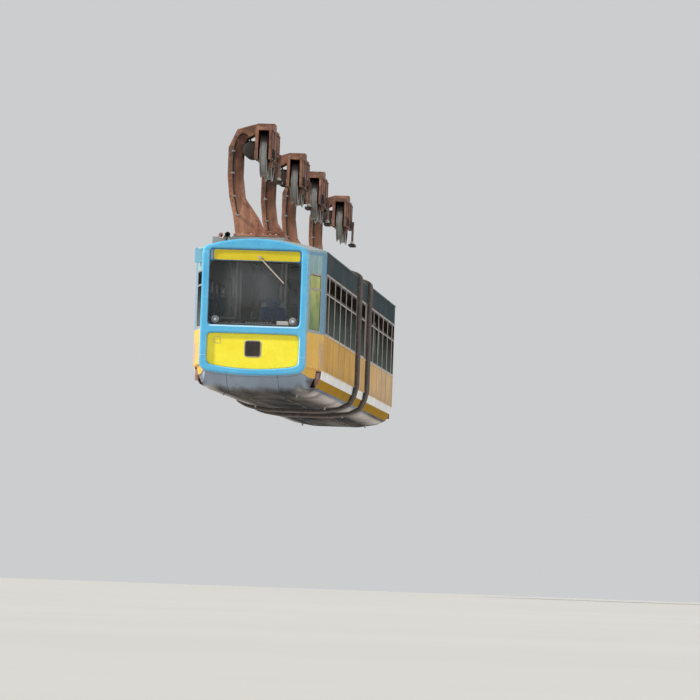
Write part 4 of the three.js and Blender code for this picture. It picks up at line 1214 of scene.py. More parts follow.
def fold_height(t):
    """Height of the folds along the bellows: |sin| to the power 0.6, for round tops, sharp valleys."""
    return 0.010 + 0.050 * np.abs(np.sin(np.pi * FOLDS * t)) ** 0.6


def bellows_rubber():
    """Brown black rubber: a dark line of painted shade in each valley between folds, and dust over it.
    """
    f = Finish("bellows_rubber", Sheen_Weight=0.15)
    base = f.mix(f.noise(5.0, (1, 0.4, 1)), "35281f", "473831")
    # a dark line in each valley between folds: painted shade
    valley_painted_shade = f.lines(f.minus(f.along, 1.2803), FOLD_SPAN / FOLDS, 0.012)
    base = f.mix(f.less(valley_painted_shade, 0.8), base, "0f0c0b")
    base = f.mix(f.less(f.noise(20.0, (1, 0.3, 1), 4.0, 0.6, 0.48, 0.72), 0.4), base, "75675c")
    return f.end(base, 0.5, 0.75, f.noise(8.0), f.noise(160.0), 0.0006, 0.4)


bellows_material = bellows_rubber()
for end, s in SECTIONS:
    t = np.linspace(0, 1, 81)
    lengths = s * (MIDDLE_END + 0.0003 + FOLD_SPAN * t)
    outer = body_rings(fold_height(t), lengths)
    inner = body_rings(fold_height(t) - RUBBER_THICK, lengths)
    shell = np.concatenate([outer, inner[::-1]])
    folded = shell.reshape(-1, 3), grid_faces(len(shell), len(OUTLINE), True, True)
    piece = make_piece(f"{end}_bellows_folds", folded, bellows_material, None)
    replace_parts(piece, f"{end}_bellows")
    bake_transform(piece)
    for body, y0, y1 in ((MIDDLE_BODY, 1.250, 1.2802), (f"{end}_section", 1.8798, 1.908)):
        y = np.array([y0, y0, y0 + 0.004, y1 - 0.004, y1, y1])
        rows = body_rings([0.001, 0.012, 0.015, 0.015, 0.012, 0.001], s * y)
        clamp = rows.reshape(-1, 3), grid_faces(6, len(OUTLINE), True, True)
        make_piece(f"{end}_bellows_clamp_{body}", clamp, rubber_material, body)
print("2 bellows with", FOLDS, "folds each")

# %% [markdown]
# ## Roof
# Cover strips follow the crown of the roof, a conduit runs beside them, and the low ventilators have
# louvres along their slopes. Two small horns point forwards from the front corner of the cab. Strips
# could be projected onto the roof, but its crown is a plain parabola, so its formula places them.

# %% Roof fittings
STRIPS, VENTS = (2.15, 3.55, 5.55, 7.45, 9.35), (8.35, 6.45, 4.55)
EYE = [(-0.008, 0.020), (-0.008, 0.034), (0.008, 0.034), (0.008, 0.020), (-0.008, 0.020)]


def crown(x):
    """Height of the roof at x: the crown less 0.1673 times the square of x over 1.065."""
    return -1.050 - 0.1673 * (np.asarray(x, float) / 1.065) ** 2


def roof_strip(y):
    """A strip laid over the roof: its four edges follow the crown, 0.3 mm or its thickness above it."""
    x = np.linspace(-1.062, 1.062, 37)
    edges = [(y - 0.018, 0.0003), (y - 0.018, 0.004), (y + 0.018, 0.004), (y + 0.018, 0.0003)]
    rows = [np.stack([x, np.full(37, length), crown(x) + raised], 1) for length, raised in edges]
    return np.stack(rows, 1).reshape(-1, 3), grid_faces(37, 4, False, True)


for end, s in SECTIONS:
    body = f"{end}_section"
    make_piece(
        f"{end}_roof_strips", together(*[roof_strip(s * y) for y in STRIPS]), roof_material, body
    )
    conduits = rods([[-0.80, s * 2.5, -1.135, -0.80, s * 9.4, -1.135, 0.013],
                     [-0.76, s * 2.5, -1.128, -0.76, s * 9.4, -1.128, 0.009]])
    saddles = boxes(
        [[-0.83, -0.735, s * y - 0.02, s * y + 0.02, -1.155, -1.112] for y in np.arange(2.9, 9.4, 0.8)]
    )
    make_piece(f"{end}_roof_conduit", together(conduits, saddles), steel_material, body)
    slats = [[side * 0.3303, side * 0.345, s * vent + d - 0.014, s * vent + d + 0.014, -1.062, -1.036]
             for vent in VENTS for d in np.arange(-0.36, 0.361, 0.045) for side in (1, -1)]
    make_piece(f"{end}_vent_louvres", boxes(slats), roof_material, body, bevel=0.002)
    lids = [[-0.255, 0.255, s * vent - 0.40, s * vent + 0.40, -0.9853, -0.977] for vent in VENTS]
    make_piece(f"{end}_vent_lids", boxes(lids), roof_material, body, bevel=0.003)
    eyes = [[x, s * y, float(crown(x)) + 0.001] for y in (3.2, 9.6) for x in (-0.9, 0.9)]
    feet = boxes([[x - 0.04, x + 0.04, y - 0.03, y + 0.03, z - 0.012, z + 0.004] for x, y, z in eyes])
    rings = repeated(turned(EYE, (0, 0, 0.034), (0, 1, 0), 20), eyes)
    make_piece(f"{end}_lifting_eyes", together(rings, feet), steel_material, body)
make_piece(
    "middle_roof_strips", together(roof_strip(-0.64), roof_strip(0.64)), roof_material, MIDDLE_BODY
)
print(2 * len(VENTS), "ventilators with louvres")

# %% Horns
HORN = [(0.0, 0.0), (0.0, 0.020), (0.05, 0.016), (0.11, 0.018), (0.15, 0.026), (0.18, 0.044),
        (0.187, 0.047), (0.180, 0.040), (0.14, 0.018), (0.06, 0.010), (0.06, 0.0)]
large = turned(HORN, (-0.640, -11.23, -1.055), (0, -1, 0), 28)
make_piece("front_horn_large", large, horn_material, FRONT_BODY)
small = turned(HORN, (-0.530, -11.26, -1.040), (0, -1, 0), 28)
bracket = boxes([[-0.67, -0.50, -11.27, -11.22, -1.125, -1.050]])
make_piece("front_horn_small", together(small, bracket), dark_material, FRONT_BODY)
print("2 horns turned")

# %% [markdown]
# ## Seat cushions
# A foam cushion is full between its seams and thin along them. It could be sculpted by hand, but a
# cloth simulation finds that shape by itself: a flat closed form is filled with air pressure, and its
# seam rows are held. One cushion and one back pad are blown up, and the result is copied to each seat.

# %% A flat pad to inflate
def pad_grid(wide, long, thick, cells=18, corner=0.05):
    """A closed pad: two faces of cells by cells quads over a rounded square, joined by three rows round
    its side. A point (a, b) of a square moves to (a sqrt(1 - b^2 k), b sqrt(1 - a^2 k))."""
    t = np.linspace(-1, 1, cells + 1)
    a, b = np.meshgrid(t, t, indexing="ij")
    k = corner * 4
    flat = np.stack(
        [a * np.sqrt(1 - k * b ** 2) * wide / 2, b * np.sqrt(1 - k * a ** 2) * long / 2], -1
    )
    index = np.arange((cells + 1) ** 2).reshape(cells + 1, cells + 1)
    edge = np.concatenate([index[:-1, 0], index[-1, :-1], index[:0:-1, -1], index[0, :0:-1]])
    flat = flat.reshape(-1, 2)
    shrink = 1 - 0.06 * (np.abs(a) ** 8 + np.abs(b) ** 8).reshape(-1, 1)
    upper = np.concatenate([flat * shrink, np.full((len(flat), 1), thick)], 1)
    lower = upper * [1, 1, 0]
    belts = [
        np.concatenate([flat[edge], np.full((len(edge), 1), thick * h)], 1) for h in (0.2, 0.5, 0.8)
    ]
    top = len(flat) + 3 * len(edge)
    quads = np.stack(
        [index[:-1, :-1], index[1:, :-1], index[1:, 1:], index[:-1, 1:]], -1
    ).reshape(-1, 4)
    rings = [edge] + [len(flat) + i * len(edge) + np.arange(len(edge)) for i in range(3)] + [edge + top]
    walls = [np.stack([low, np.roll(low, -1), np.roll(high, -1), high], -1)
             for low, high in zip(rings, rings[1:])]
    faces = np.concatenate([quads[:, ::-1], quads + top, *walls])
    return np.concatenate([lower, *belts, upper]), faces, index, top


print("a pad has", len(pad_grid(1, 1, 1)[1]), "faces")


# %% Fill the pads with air
def cloth_with_air(pad):
    """Makes the pad a cloth that is stiff against stretch, weightless, filled with air and pinned."""
    settings = pad.modifiers.new("air", "CLOTH").settings
    settings.quality = 5
    settings.use_pressure = True
    settings.uniform_pressure_force = 4.0
    settings.vertex_group_mass = "held"
    settings.effector_weights.gravity = 0.0
    settings.tension_stiffness = 12.0
    settings.bending_stiffness = 0.4


def inflated(name, wide, long, thick, seams, swell=0.012, steps=20):
    """Fills a pad with air. Its back and its sewn rows are pinned, and no other point moves further
    than the swell. A short run of cloth steps gives the soft crown between the seams."""
    points, faces, index, top = pad_grid(wide, long, thick)
    mesh = bpy.data.meshes.new(name)
    mesh.from_pydata(points.tolist(), [], faces.tolist())
    mesh.update()
    pad = bpy.data.objects.new(name, mesh)
    bpy.context.scene.collection.objects.link(pad)
    rows, columns = seams
    sewn = [index[row, :] + top for row in rows] + [index[:, column] + top for column in columns]
    moved = points.copy()
    group = pad.vertex_groups.new(name="held")
    group.add(np.unique(np.concatenate(sewn + [index.ravel()])).tolist(), 1.0, "REPLACE")
    cloth_with_air(pad)
    for step in range(1, steps + 1):
        bpy.context.scene.frame_set(step)
    seen = pad.evaluated_get(bpy.context.evaluated_depsgraph_get())
    moved = np.empty(len(points) * 3, np.float32)
    seen.data.vertices.foreach_get("co", moved)
    moved = moved.reshape(-1, 3)
    push = moved - points
    length = np.linalg.norm(push, axis=1, keepdims=True)
    result = points + push * np.minimum(1.0, swell / np.maximum(length, 1e-9))
    bpy.data.objects.remove(pad)
    bpy.data.meshes.remove(mesh)
    bpy.context.scene.frame_set(1)
    swelled = float(np.linalg.norm(result - points, axis=1).max())
    print(name, "swelled by up to", round(swelled * 1000, 1), "mm")
    return result, faces


SEAT_PAD = inflated("seat_pad", 0.392, 0.415, 0.034, ((6, 12), ()))
BACK_PAD = inflated("back_pad", 0.388, 0.440, 0.026, ((6, 12), (4, 14)))


# %% Seat cover
def seat_cover():
    """Woven blue cloth: a weave from sin(2600 x) sin(2600 y), and small gold dots."""
    f = Finish("seat_cover", Sheen_Weight=0.4, Sheen_Roughness=0.5)
    base = f.mix(f.noise(3.0), "24446f", "2d5588")
    dots = f.put("TexVoronoi", {"Vector": f.place, "Scale": 42.0}).outputs[0]
    base = f.mix(f.below(dots, 0.20, 0.03), base, "c7a24a")
    weave = f.both(f.math("SINE", f.less(f.y, 2600.0)), f.math("SINE", f.less(f.x, 2600.0)))
    base = f.mix(f.less(f.above(weave, 0.0, 0.8), 0.25), base, "16294a")
    return f.end(base, 0.8, 0.95, f.noise(12.0), weave, 0.0006, 0.5)


seat_material = seat_cover()
shell_material = plain_finish("seat_shell", "8b8f90", "9da1a1", 0.35, 0.55, 90.0)

# %% [markdown]
# ## Seats
# Seats stand back to back and face to face along both walls, on boxes above the floor. A seat could be
# an instance of one object, but all seats of a wall share one solid that is replaced as a whole, so
# their shells make one piece and their cushions another.

# %% Seats in their rows
# y: place of a seat row, back: side of its back rest, +1 away from mid-car
WINDOW_ROWS = np.array([(10.08, 1), (9.08, -1), (8.56, 1), (7.40, -1), (6.88, 1), (5.72, -1), (5.20, 1),
                        (4.04, -1), (3.52, 1), (2.78, -1)])
DOOR_ROWS = np.array([(7.90, 1), (6.92, -1), (6.38, 1), (4.90, -1)])
LEAN = np.arctan2(0.060, 0.490)
FLAT = (1, 0, 0), (0, 1, 0), (0, 0, 1)


def placed(shape, origin, u, v, w):
    """A shape moved to a frame: origin + u x + v y + w z."""
    points, faces = shape
    return np.asarray(origin, float) + points @ np.array([u, v, w], float), faces


def one_seat(x, y, back, s):
    """Two cushions and two shells of a seat, whose back leans by 60 mm in 490 mm."""
    ahead = np.array([0, -s * back * np.cos(LEAN), np.sin(LEAN)])
    upward = np.array([0, s * back * np.sin(LEAN), np.cos(LEAN)])
    foot = np.array([x, s * (y + back * 0.205 + back * 0.026), -2.560])
    cushion = placed(SEAT_PAD, (x, s * (y - back * 0.018), -2.832), *FLAT)
    rest = placed(BACK_PAD, foot + ahead * 0.006, (1, 0, 0), upward, ahead)
    y0, y1 = sorted((s * (y + back * 0.228), s * (y - back * 0.238)))
    pan = rounded_plate(x - 0.205, x + 0.205, y0, y1, 0.045, 2, -2.868, 1, 0.034, -0.003)
    plate = rounded_plate(-0.205, 0.205, -0.275, 0.232, 0.050, 2, 0.0, 1, 0.016, -0.002)
    return [cushion, rest], [pan, placed(plate, foot - ahead * 0.011, (1, 0, 0), upward, ahead)]


def seat_boxes(side, rows, s):
    """Legs and cross bars of each row, and the long box along the wall that they stand on."""
    legs = []
    for y, _ in rows:
        y0, y1 = s * y - 0.10, s * y + 0.10
        legs += [[side * 0.63, side * 0.77, y0, y1, -3.148, -2.860],
                 [side * 0.25, side * 0.97, y0 + 0.04, y1 - 0.04, -2.890, -2.866]]
    far, near = s * (rows[:, 0].max() + 0.25), s * (rows[:, 0].min() - 0.25)
    return boxes(legs + [[side * 0.50, side * 0.90, far, near, ON_FLOOR, -3.120]])


for end, s in SECTIONS:
    body = f"{end}_section"
    for label, side in WALLS:
        rows = WINDOW_ROWS if side > 0 else DOOR_ROWS
        seats = [one_seat(side * x, y, back, s) for y, back in rows for x in (0.40, 0.82)]
        cushions, shells = [sum(kind, []) for kind in zip(*seats)]
        shell = make_piece(f"{end}_seat_shells_{label}", together(*shells), shell_material, body)
        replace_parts(shell, f"{end}_seats_{label}")
        legs = seat_boxes(side, rows, s)
        make_piece(f"{end}_seat_legs_{label}", legs, grey_material, body, bevel=0.004)
        tops = [s * (y + back * 0.262) for y, back in rows]
        handles = rods([[side * 0.215, y, -2.330, side * 0.355, y, -2.330, 0.011] for y in tops])
        make_piece(f"{end}_seat_handles_{label}", handles, frame_material, body)
        make_piece(f"{end}_seat_cushions_{label}", together(*cushions), seat_material, body)
print("seats:", 2 * 2 * (len(WINDOW_ROWS) + len(DOOR_ROWS)))

# %% [markdown]
# ## The saloon
# Bare metal poles and rails, ceiling lamps, screens beside the doors, and the windows of the wall
# behind the cab all show through the glass. The lamps could be real light sources, but many small ones
# make an image noisy. Their covers glow a little instead, as they do by day.

# %% Lamp finishes
def tube_cover():
    """A lamp cover that glows, with fine ribs across it from sin(900 x)."""
    f = Finish("ceiling_lamp", Emission_Color=shade("fff3df"), Emission_Strength=2.2)
    ribs = f.math("SINE", f.less(f.x, 900.0))
    return f.end(f.mix(f.noise(20.0), "fff3df", "d8d4c8"), 0.2, 0.35, f.noise(8.0), ribs, 0.0008, 0.3)


LAMP_X, LAMP_Z = 0.65, -2.48


def lamp_glass(name, rim, ring, heart):
    """Rings of colour round each lamp's centre, by r = sqrt((|x| - 0.65)^2 + (z + 2.48)^2).
    The pale heart is a painted glint of the reflector.
    """
    f = Finish(name, Coat_Weight=0.6)
    a, b = f.minus(f.wide, LAMP_X), f.minus(f.z, LAMP_Z)
    r = f.math("SQRT", f.plus(f.both(a, a), f.both(b, b)))
    # the pale heart of each lens is a painted glint of the reflector behind it
    colour = f.mix(f.above(r, 0.022, 0.006), heart, f.mix(f.above(r, 0.050, 0.004), ring, rim))
    flutes = f.math("SINE", f.less(f.x, 700.0))
    return f.end(
        f.mix(f.less(f.noise(60.0), 0.3), colour, "6d7072"), 0.1, 0.25, f.noise(12.0), flutes, 0.0008,
        0.4
    )


tube_light = tube_cover()
lamp_lens = lamp_glass("headlamp_lens", "a9b1b5", "7f888d", "f4f6f5")
tail_lens = lamp_glass("tail_lamp_red", "a5201b", "6f110f", "d8503f")
screen_glass = glass("screen_glass", ("6f7c78", "7d8884"), 0.22)

# %% Poles and ceiling lamps
RAIL_Z, RAIL_X, POLE_ROWS = -1.335, 0.42, (9.08, 6.88, 4.04)
DOOR_POSTS = [c + d for c in DOORS for d in (-0.735, 0.735)]


def ceiling(x):
    """Height of the ceiling panels at x: 47 mm under the roof."""
    return float(crown(x)) - 0.047


for end, s in SECTIONS:
    body = f"{end}_section"
    bars = [[-0.60, s * y, ON_FLOOR, -0.60, s * y, ceiling(0.60), 0.0175] for y in DOOR_POSTS]
    for x in (-RAIL_X, RAIL_X):
        bars.append([x, s * 2.10, RAIL_Z, x, s * 10.40, RAIL_Z, 0.016])
        bars += [[x, s * y, RAIL_Z, x, s * y, ceiling(x), 0.010] for y in np.arange(2.3, 10.4, 1.3)]
    bars += [[0.22, s * y, -2.86, 0.22, s * y, RAIL_Z, 0.0155] for y in POLE_ROWS]
    bars += [[0.22, s * y, RAIL_Z, RAIL_X, s * y, RAIL_Z, 0.0155] for y in POLE_ROWS]
    make_piece(f"{end}_grab_poles", rods(bars), frame_material, body)
    z = ceiling(0.75)
    holders = [[x - 0.075, x + 0.075, s * 2.2, s * 10.3, z - 0.022, z + 0.010] for x in (-0.68, 0.68)]
    make_piece(f"{end}_lamp_housings", boxes(holders), pale_material, body, bevel=0.004)
    lamps = [[x - 0.052, x + 0.052, s * (y - 0.62), s * (y + 0.62), z - 0.036, z - 0.0225]
             for x in (-0.68, 0.68) for y in np.arange(2.95, 10.0, 1.40)]
    make_piece(f"{end}_ceiling_lamps", boxes(lamps), tube_light, body, bevel=0.006)
print(2 * len(DOOR_POSTS), "poles beside the doors")

# %% Screens, linings and mats
for end, s in SECTIONS:
    body = f"{end}_section"
    screens = [[-1.052, -0.618, s * y - 0.004, s * y + 0.004, -3.12, -1.98] for y in DOOR_POSTS]
    make_piece(f"{end}_door_screens", boxes(screens), screen_glass, body)
    edges = [[-1.054, -0.60, s * y - 0.011, s * y + 0.011, z - 0.012, z + 0.012]
             for y in DOOR_POSTS for z in (-3.13, -1.97)]
    panels = [[1.020, 1.0545, s * 2.0, s * 10.50, z, z + 0.028] for z in (-2.640, -3.02)]
    heaters = [[1.005, 1.0545, s * 2.2, s * 10.4, -3.20, -3.06]]
    make_piece(
        f"{end}_lining_rails", boxes(edges + panels + heaters), frame_material, body, bevel=0.003
    )
    mats = [[-1.03, -0.24, s * (c - 0.62), s * (c + 0.62), ON_FLOOR, -3.2225] for c in DOORS]
    make_piece(f"{end}_door_mats", boxes(mats), rubber_material, body, bevel=0.0015)
print(2 * len(DOOR_POSTS), "screens and", 2 * len(DOORS), "mats laid")

# %% The wall behind the cab
BULKHEAD_RIM = [(-0.012, 0.0), (-0.012, 0.008), (0.022, 0.008), (0.022, 0.0003), (0.0005, 0.0003)]
rings = []
for side in (1, -1):
    x0, x1 = sorted((side * 0.42, side * 0.96))
    path = rounded_path(x0, x1, -2.40, -1.45, 0.004)
    rings += [
        frame_ring(*path, 1, y, facing, BULKHEAD_RIM) for y, facing in ((-10.595, -1), (-10.560, 1))
    ]
make_piece("bulkhead_window_frames", together(*rings), frame_material, FRONT_BODY)
panes = boxes([[x - 0.269, x + 0.269, -10.581, -10.575, -2.399, -1.451] for x in (-0.69, 0.69)])
make_piece("bulkhead_windows", panes, screen_glass, FRONT_BODY, smooth=False)
posts = boxes([[0.3301, 0.352, -10.604, -10.5955, -3.226, -1.385],
               [-0.3301, -0.352, -10.604, -10.5955, -3.226, -1.385],
               [-0.352, 0.352, -10.604, -10.5955, -1.3995, -1.380]])
make_piece("cab_doorway_trim", posts, frame_material, FRONT_BODY, bevel=0.001)
print("saloon fitted")

# %% [markdown]
# ## The cab
# The seat is a pad on a shell, on a pedestal with a bellows. The desk has a hooded panel with
# dials, buttons and two levers, and two round lamps stand behind the lower corners of the screen.
# Plain boxes would do from far off, but the screen is nearly clear, so the round pieces are turned.

# %% The seat in the cab
def scaled(shape, factors):
    """A shape with each coordinate multiplied."""
    return shape[0] * np.asarray(factors, float), shape[1]


DRIVER = inflated("driver_seat_pad", 0.440, 0.420, 0.060, ((6, 12), (5, 13)), swell=0.016)
DRIVER_BACK = inflated("driver_back_pad", 0.430, 0.500, 0.045, ((6, 12), ()), swell=0.014)
UPRIGHT = (1, 0, 0), (0, 0.02, 1), (0, -1, 0.02)
pads = [placed(DRIVER, (0.25, -11.170, -2.795), *FLAT),
        placed(DRIVER_BACK, (0.25, -10.982, -2.450), *UPRIGHT),
        placed(scaled(DRIVER_BACK, (0.55, 0.26, 0.9)), (0.25, -10.978, -2.135), *UPRIGHT)]
make_piece("driver_seat_pads", together(*pads), seat_material, "front_section")
PEDESTAL = [(0.0, 0.0), (0.0, 0.130), (0.020, 0.130), (0.026, 0.060), (0.080, 0.055), (0.100, 0.085),
            (0.130, 0.060), (0.160, 0.085), (0.190, 0.060), (0.220, 0.085), (0.250, 0.060),
            (0.280, 0.085), (0.310, 0.070), (0.385, 0.090), (0.385, 0.0)]
pan = rounded_plate(0.025, 0.475, -11.378, -10.945, 0.050, 2, -2.838, 1, 0.042, -0.004)
rest = rounded_plate(0.030, 0.470, -2.790, -2.130, 0.080, 1, -10.9475, -1, 0.030, -0.004)
column = turned(PEDESTAL, (0.25, -11.15, ON_FLOOR), (0, 0, 1), 28)
shell = make_piece("driver_seat_shell", together(pan, rest, column), shell_material, FRONT_BODY)
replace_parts(shell, "driver_seat")
arms = boxes([[x - 0.025, x + 0.025, -11.32, -10.97, -2.595, -2.565] for x in (0.005, 0.495)]
             + [[x - 0.012, x + 0.012, -11.00, -10.955, -2.80, -2.570] for x in (0.012, 0.488)])
make_piece("driver_seat_arms", arms, rubber_material, FRONT_BODY, bevel=0.006)
print("cab seat in place")

# %% Desk
DESK, PANEL_FACE = -2.5597, -2.5148  # where trim starts on the desk and on its raised panel
DIALS, DIAL_Y, TICK_RADIUS = (-0.50, -0.38, -0.26), -11.66, 0.026
DIAL = [
    (0.0, 0.0), (0.0, 0.040), (0.006, 0.043), (0.010, 0.043), (0.011, 0.036), (0.007, 0.034),
    (0.007, 0.0)
]
BUTTON = [(0.0, 0.0), (0.0, 0.011), (0.010, 0.011), (0.013, 0.008), (0.013, 0.0)]
KNOB = [(0.0, 0.0), (0.0, 0.022), (0.035, 0.026), (0.060, 0.020), (0.066, 0.0)]
UP = (0, 0, 1)
hood = boxes([[-0.62, 0.30, -11.80, -11.50, DESK, -2.515],
              [-0.62, 0.30, -11.560, -11.500, -2.516, -2.455],
              [-0.74, -0.70, -11.88, -11.52, DESK, -2.520],
              [0.40, 0.72, -11.72, -11.52, DESK, -2.530]])
make_piece("desk_panel", hood, dark_material, FRONT_BODY, bevel=0.006)
gauges = [turned(DIAL, (x, DIAL_Y, PANEL_FACE), UP, 28) for x in DIALS]
make_piece("desk_dials", together(*gauges), frame_material, FRONT_BODY)
spots = [
    (x + TICK_RADIUS * np.cos(a), DIAL_Y + TICK_RADIUS * np.sin(a)) for x in DIALS
    for a in np.linspace(-0.6, 3.8, 9)
]
ticks = boxes([[x - 0.002, x + 0.002, y - 0.002, y + 0.002, -2.508, -2.5068] for x, y in spots])
make_piece("desk_dial_ticks", ticks, pale_material, FRONT_BODY)
buttons = [
    turned(BUTTON, (x, y, -2.5149), UP, 14) for x in np.arange(-0.14, 0.27, 0.05)
    for y in (-11.74, -11.68, -11.62)
]
make_piece("desk_buttons", together(*buttons), pale_material, FRONT_BODY)
sticks = rods([[0.56, -11.60, -2.531, 0.56, -11.62, -2.43, 0.011],
               [-0.72, -11.62, -2.521, -0.72, -11.64, -2.42, 0.011]])
knobs = [turned(KNOB, place, UP, 20) for place in ((0.56, -11.62, -2.435), (-0.72, -11.64, -2.425))]
make_piece("desk_levers", together(sticks, *knobs), dark_material, FRONT_BODY)
pale_box = boxes([[0.38, 0.585, -11.905, -11.845, DESK, -2.480]])
make_piece("desk_pale_box", pale_box, pale_material, FRONT_BODY, bevel=0.004)
print(len(gauges), "dials,", len(buttons), "buttons and", len(knobs), "levers")

# %% Lamps in the nose
LENS = [(-0.0003, 0.0), (-0.0003, 0.064), (0.003, 0.060), (0.006, 0.045), (0.0075, 0.025), (0.008, 0.0)]
BEZEL = [(-0.010, 0.0745), (-0.010, 0.080), (0.004, 0.080), (0.0075, 0.074), (0.004, 0.0655),
         (0.0003, 0.0655), (0.0003, 0.0745), (-0.010, 0.0745)]
for name, body, s, lens in (
    ("headlamp", FRONT_BODY, -1, lamp_lens), ("tail_lamp", "rear_section", 1, tail_lens)
):
    for label, profile, material in (("lenses", LENS, lens), ("bezels", BEZEL, dark_material)):
        pair = [turned(profile, (x, s * 11.9262, LAMP_Z), (0, s, 0), 36) for x in (-LAMP_X, LAMP_X)]
        make_piece(f"{name}_{label}", together(*pair), material, body)
print("2 headlamps and 2 tail lamps")

# %% [markdown]
# ## Small outside parts
# Door buttons, a rear view camera's lens, the wiper's blade, hatches under the belly, drain pipes and
# rows of rivets are small, but without them the large surfaces look empty. A bump pattern could show
# the rivets. Heads of 8 sides catch the light at their edges, and stay cheap when they are repeated.

# %% Door buttons and the belly
PUSH_BUTTON = [(0.0, 0.0), (0.0, 0.020), (0.010, 0.020), (0.014, 0.016), (0.014, 0.0)]
CATCH = [(0.0, 0.0), (0.0, 0.016), (0.004, 0.014), (0.004, 0.0)]
BELLY_RIVET = [(0.0, 0.0), (0.0, 0.007), (0.002, 0.005), (0.0028, 0.0)]
DOWN, HATCHES = (0, 0, -1), np.arange(3.0, 9.6, 1.9)
for end, s in SECTIONS:
    body = f"{end}_section"
    places = [s * (c - 0.735) for c in DOORS]
    plates = [
        rounded_plate(y - 0.035, y + 0.035, -2.56, -2.44, 0.015, 0, -ON_SKIN, -1, 0.006, 0.001)
        for y in places
    ]
    make_piece(f"{end}_door_button_plates", together(*plates), frame_material, body)
    knobs = [turned(PUSH_BUTTON, (-1.1065, y, -2.50), (-1, 0, 0), 20) for y in places]
    make_piece(f"{end}_door_buttons", together(*knobs), tail_lens, body)
    ends = [sorted((s * y, s * (y + 1.1))) for y in HATCHES]
    hatches = [
        rounded_plate(-0.36, 0.36, y0, y1, 0.040, 2, -3.6702, -1, 0.004, 0.001) for y0, y1 in ends
    ]
    make_piece(f"{end}_belly_hatches", together(*hatches), underframe_material, body)
    catches = [
        turned(CATCH, (x, s * (y + d), -3.6750), DOWN, 14) for y in HATCHES for x in (-0.33, 0.33)
        for d in (0.12, 0.55, 0.98)
    ]
    drains = rods(
        [[x, s * y, -3.640, x, s * y, -3.69, 0.018] for y in (2.6, 9.95) for x in (-0.62, 0.62)]
    )
    make_piece(f"{end}_belly_catches", together(*catches, drains), steel_material, body)
    seams = [[x, s * y, -3.6699] for x in (-0.45, 0.45) for y in np.arange(2.1, 10.5, 0.12)]
    rivets = repeated(turned(BELLY_RIVET, (0, 0, 0), DOWN, 8), seams)
    make_piece(f"{end}_belly_rivets", rivets, underframe_material, body)
print(2 * len(HATCHES), "belly hatches with their catches")

# %% Lens, blade and nozzle
CAMERA_LENS = [(0.0, 0.0), (0.0, 0.030), (0.006, 0.028), (0.010, 0.018), (0.011, 0.0)]
lens = turned(CAMERA_LENS, (-0.996, -11.2397, -1.405), (0, 1, 0), 24)
make_piece("rear_view_camera_lens", lens, dark_material, FRONT_BODY)
blade = rods([[0.262, -11.984, -1.655, 0.498, -11.984, -1.894, 0.0055],
              [0.300, -12.000, -1.670, 0.352, -11.986, -1.746, 0.004],
              [0.430, -12.000, -1.802, 0.420, -11.986, -1.815, 0.004]])
make_piece("wiper_blade", blade, rubber_material, FRONT_BODY)
nozzle = boxes([[0.10, 0.13, -12.004, -11.9905, -1.462, -1.448]])
make_piece("washer_nozzle", nozzle, dark_material, FRONT_BODY, bevel=0.002)
print("lens, blade and nozzle made")

# %% Rivets on the arms
# outer and inner edge of the hooked arm, in x and z
ARM = np.array([(-0.470, -0.995), (-0.520, -0.680), (-0.600, -0.350), (-0.640, 0.0),
                (-0.640, 0.480), (-0.500, 0.790), (-0.140, 0.900)])
INNER = np.array([(0.020, -0.970), (-0.116, -0.680), (-0.350, -0.350), (-0.400, 0.0),
                  (-0.400, 0.440), (-0.330, 0.640), (-0.140, 0.745)])
ARM_RIVET = [(0.0, 0.0), (0.0, 0.012), (0.005, 0.010), (0.008, 0.0)]


def along_line(points, spacing):
    """Points evenly spaced along a broken line, found from its running length."""
    run = np.concatenate([[0], np.cumsum(np.linalg.norm(np.diff(points, axis=0), axis=1))])
    t = np.arange(spacing, run[-1] - spacing, spacing)
    return np.stack([np.interp(t, run, points[:, k]) for k in (0, 1)], 1)


# both rows lie a tenth of the arm's width in from its edges
spots = np.concatenate(
    [along_line(ARM + (INNER - ARM) * 0.10, 0.085), along_line(INNER + (ARM - INNER) * 0.10, 0.085)]
)
for number, y in BOGIES:
    rivets = []
    for side in (-1, 1):
        rows = np.stack([spots[:, 0], np.full(len(spots), y + side * 0.2301), spots[:, 1]], 1)
        rivets.append(repeated(turned(ARM_RIVET, (0, 0, 0), (0, side, 0), 8), rows))
    make_piece(f"bogie_{number}_arm_rivets", together(*rivets), rust_material, f"bogie_{number}")
print(len(spots), "rivets on each side of an arm")

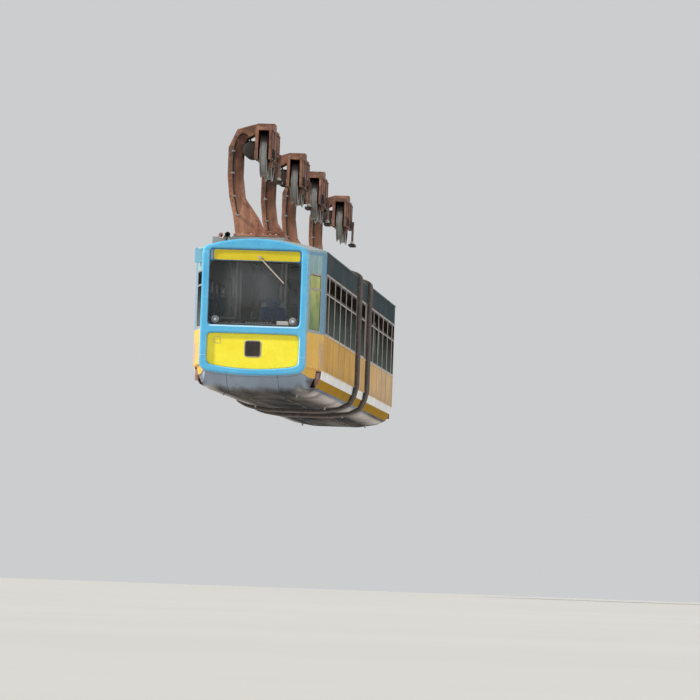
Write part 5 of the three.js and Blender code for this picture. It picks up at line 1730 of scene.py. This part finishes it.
# %% [markdown]
# ## Floor and light
# A plain pale floor lies just under the camera, and the pale world behind it gives soft light all
# round. An area lamp would have to be huge to light 24 metres evenly. Both lamps are of the sun kind,
# whose light is the same everywhere: a strong one from high on the front left, and a wide weak one
# that fills the shadows from the front right.

# %% Floor
FLOOR_Z, FLOOR_REACH = -6.95, 900
floor_mesh = bpy.data.meshes.new("pale_floor")
corners = [
    (-FLOOR_REACH, -FLOOR_REACH), (FLOOR_REACH, -FLOOR_REACH), (FLOOR_REACH, FLOOR_REACH),
    (-FLOOR_REACH, FLOOR_REACH)
]
floor_mesh.from_pydata([(x, y, FLOOR_Z) for x, y in corners], [], [(0, 1, 2, 3)])
floor_object = bpy.data.objects.new("pale_floor", floor_mesh)
bpy.context.scene.collection.objects.link(floor_object)
floor_finish = Finish("pale_floor")
floor_mesh.materials.append(
    floor_finish.end(floor_finish.mix(floor_finish.noise(0.5), "b1b0ad", "b5b4b1"), 0.8, 0.9)
)
print("floor", round(CAMERA_AT[2] - FLOOR_Z, 3), "m under the camera")

# %% World and lamps
world = bpy.data.worlds.new("pale_room")
world.use_nodes = True
background = world.node_tree.nodes["Background"]
background.inputs["Color"].default_value = shade("eef0f2")
background.inputs["Strength"].default_value = 0.70
bpy.context.scene.world = world

# name, strength, spread in degrees, colour, direction in which the light travels
LAMPS = [("soft_key", 4.9, 3, (1.0, 0.96, 0.90), (0.79, 0.21, -0.58)),
         ("soft_fill", 1.1, 40, (0.94, 0.97, 1.0), (-0.80, 0.60, 0.02))]
for name, strength, spread, tone, travel in LAMPS:
    lamp = bpy.data.lights.new(name, "SUN")
    lamp.energy, lamp.angle, lamp.color = strength, np.radians(spread), tone
    down = np.array(travel) / np.linalg.norm(travel)
    side, upward = across_of(down[None])
    lamp_object = bpy.data.objects.new(name, lamp)
    lamp_object.matrix_world = Matrix(np.column_stack([side[0], upward[0], -down]).tolist()).to_4x4()
    bpy.context.scene.collection.objects.link(lamp_object)
bpy.context.scene.view_settings.view_transform = "Standard"
print(len(LAMPS), "lamps and a pale world")
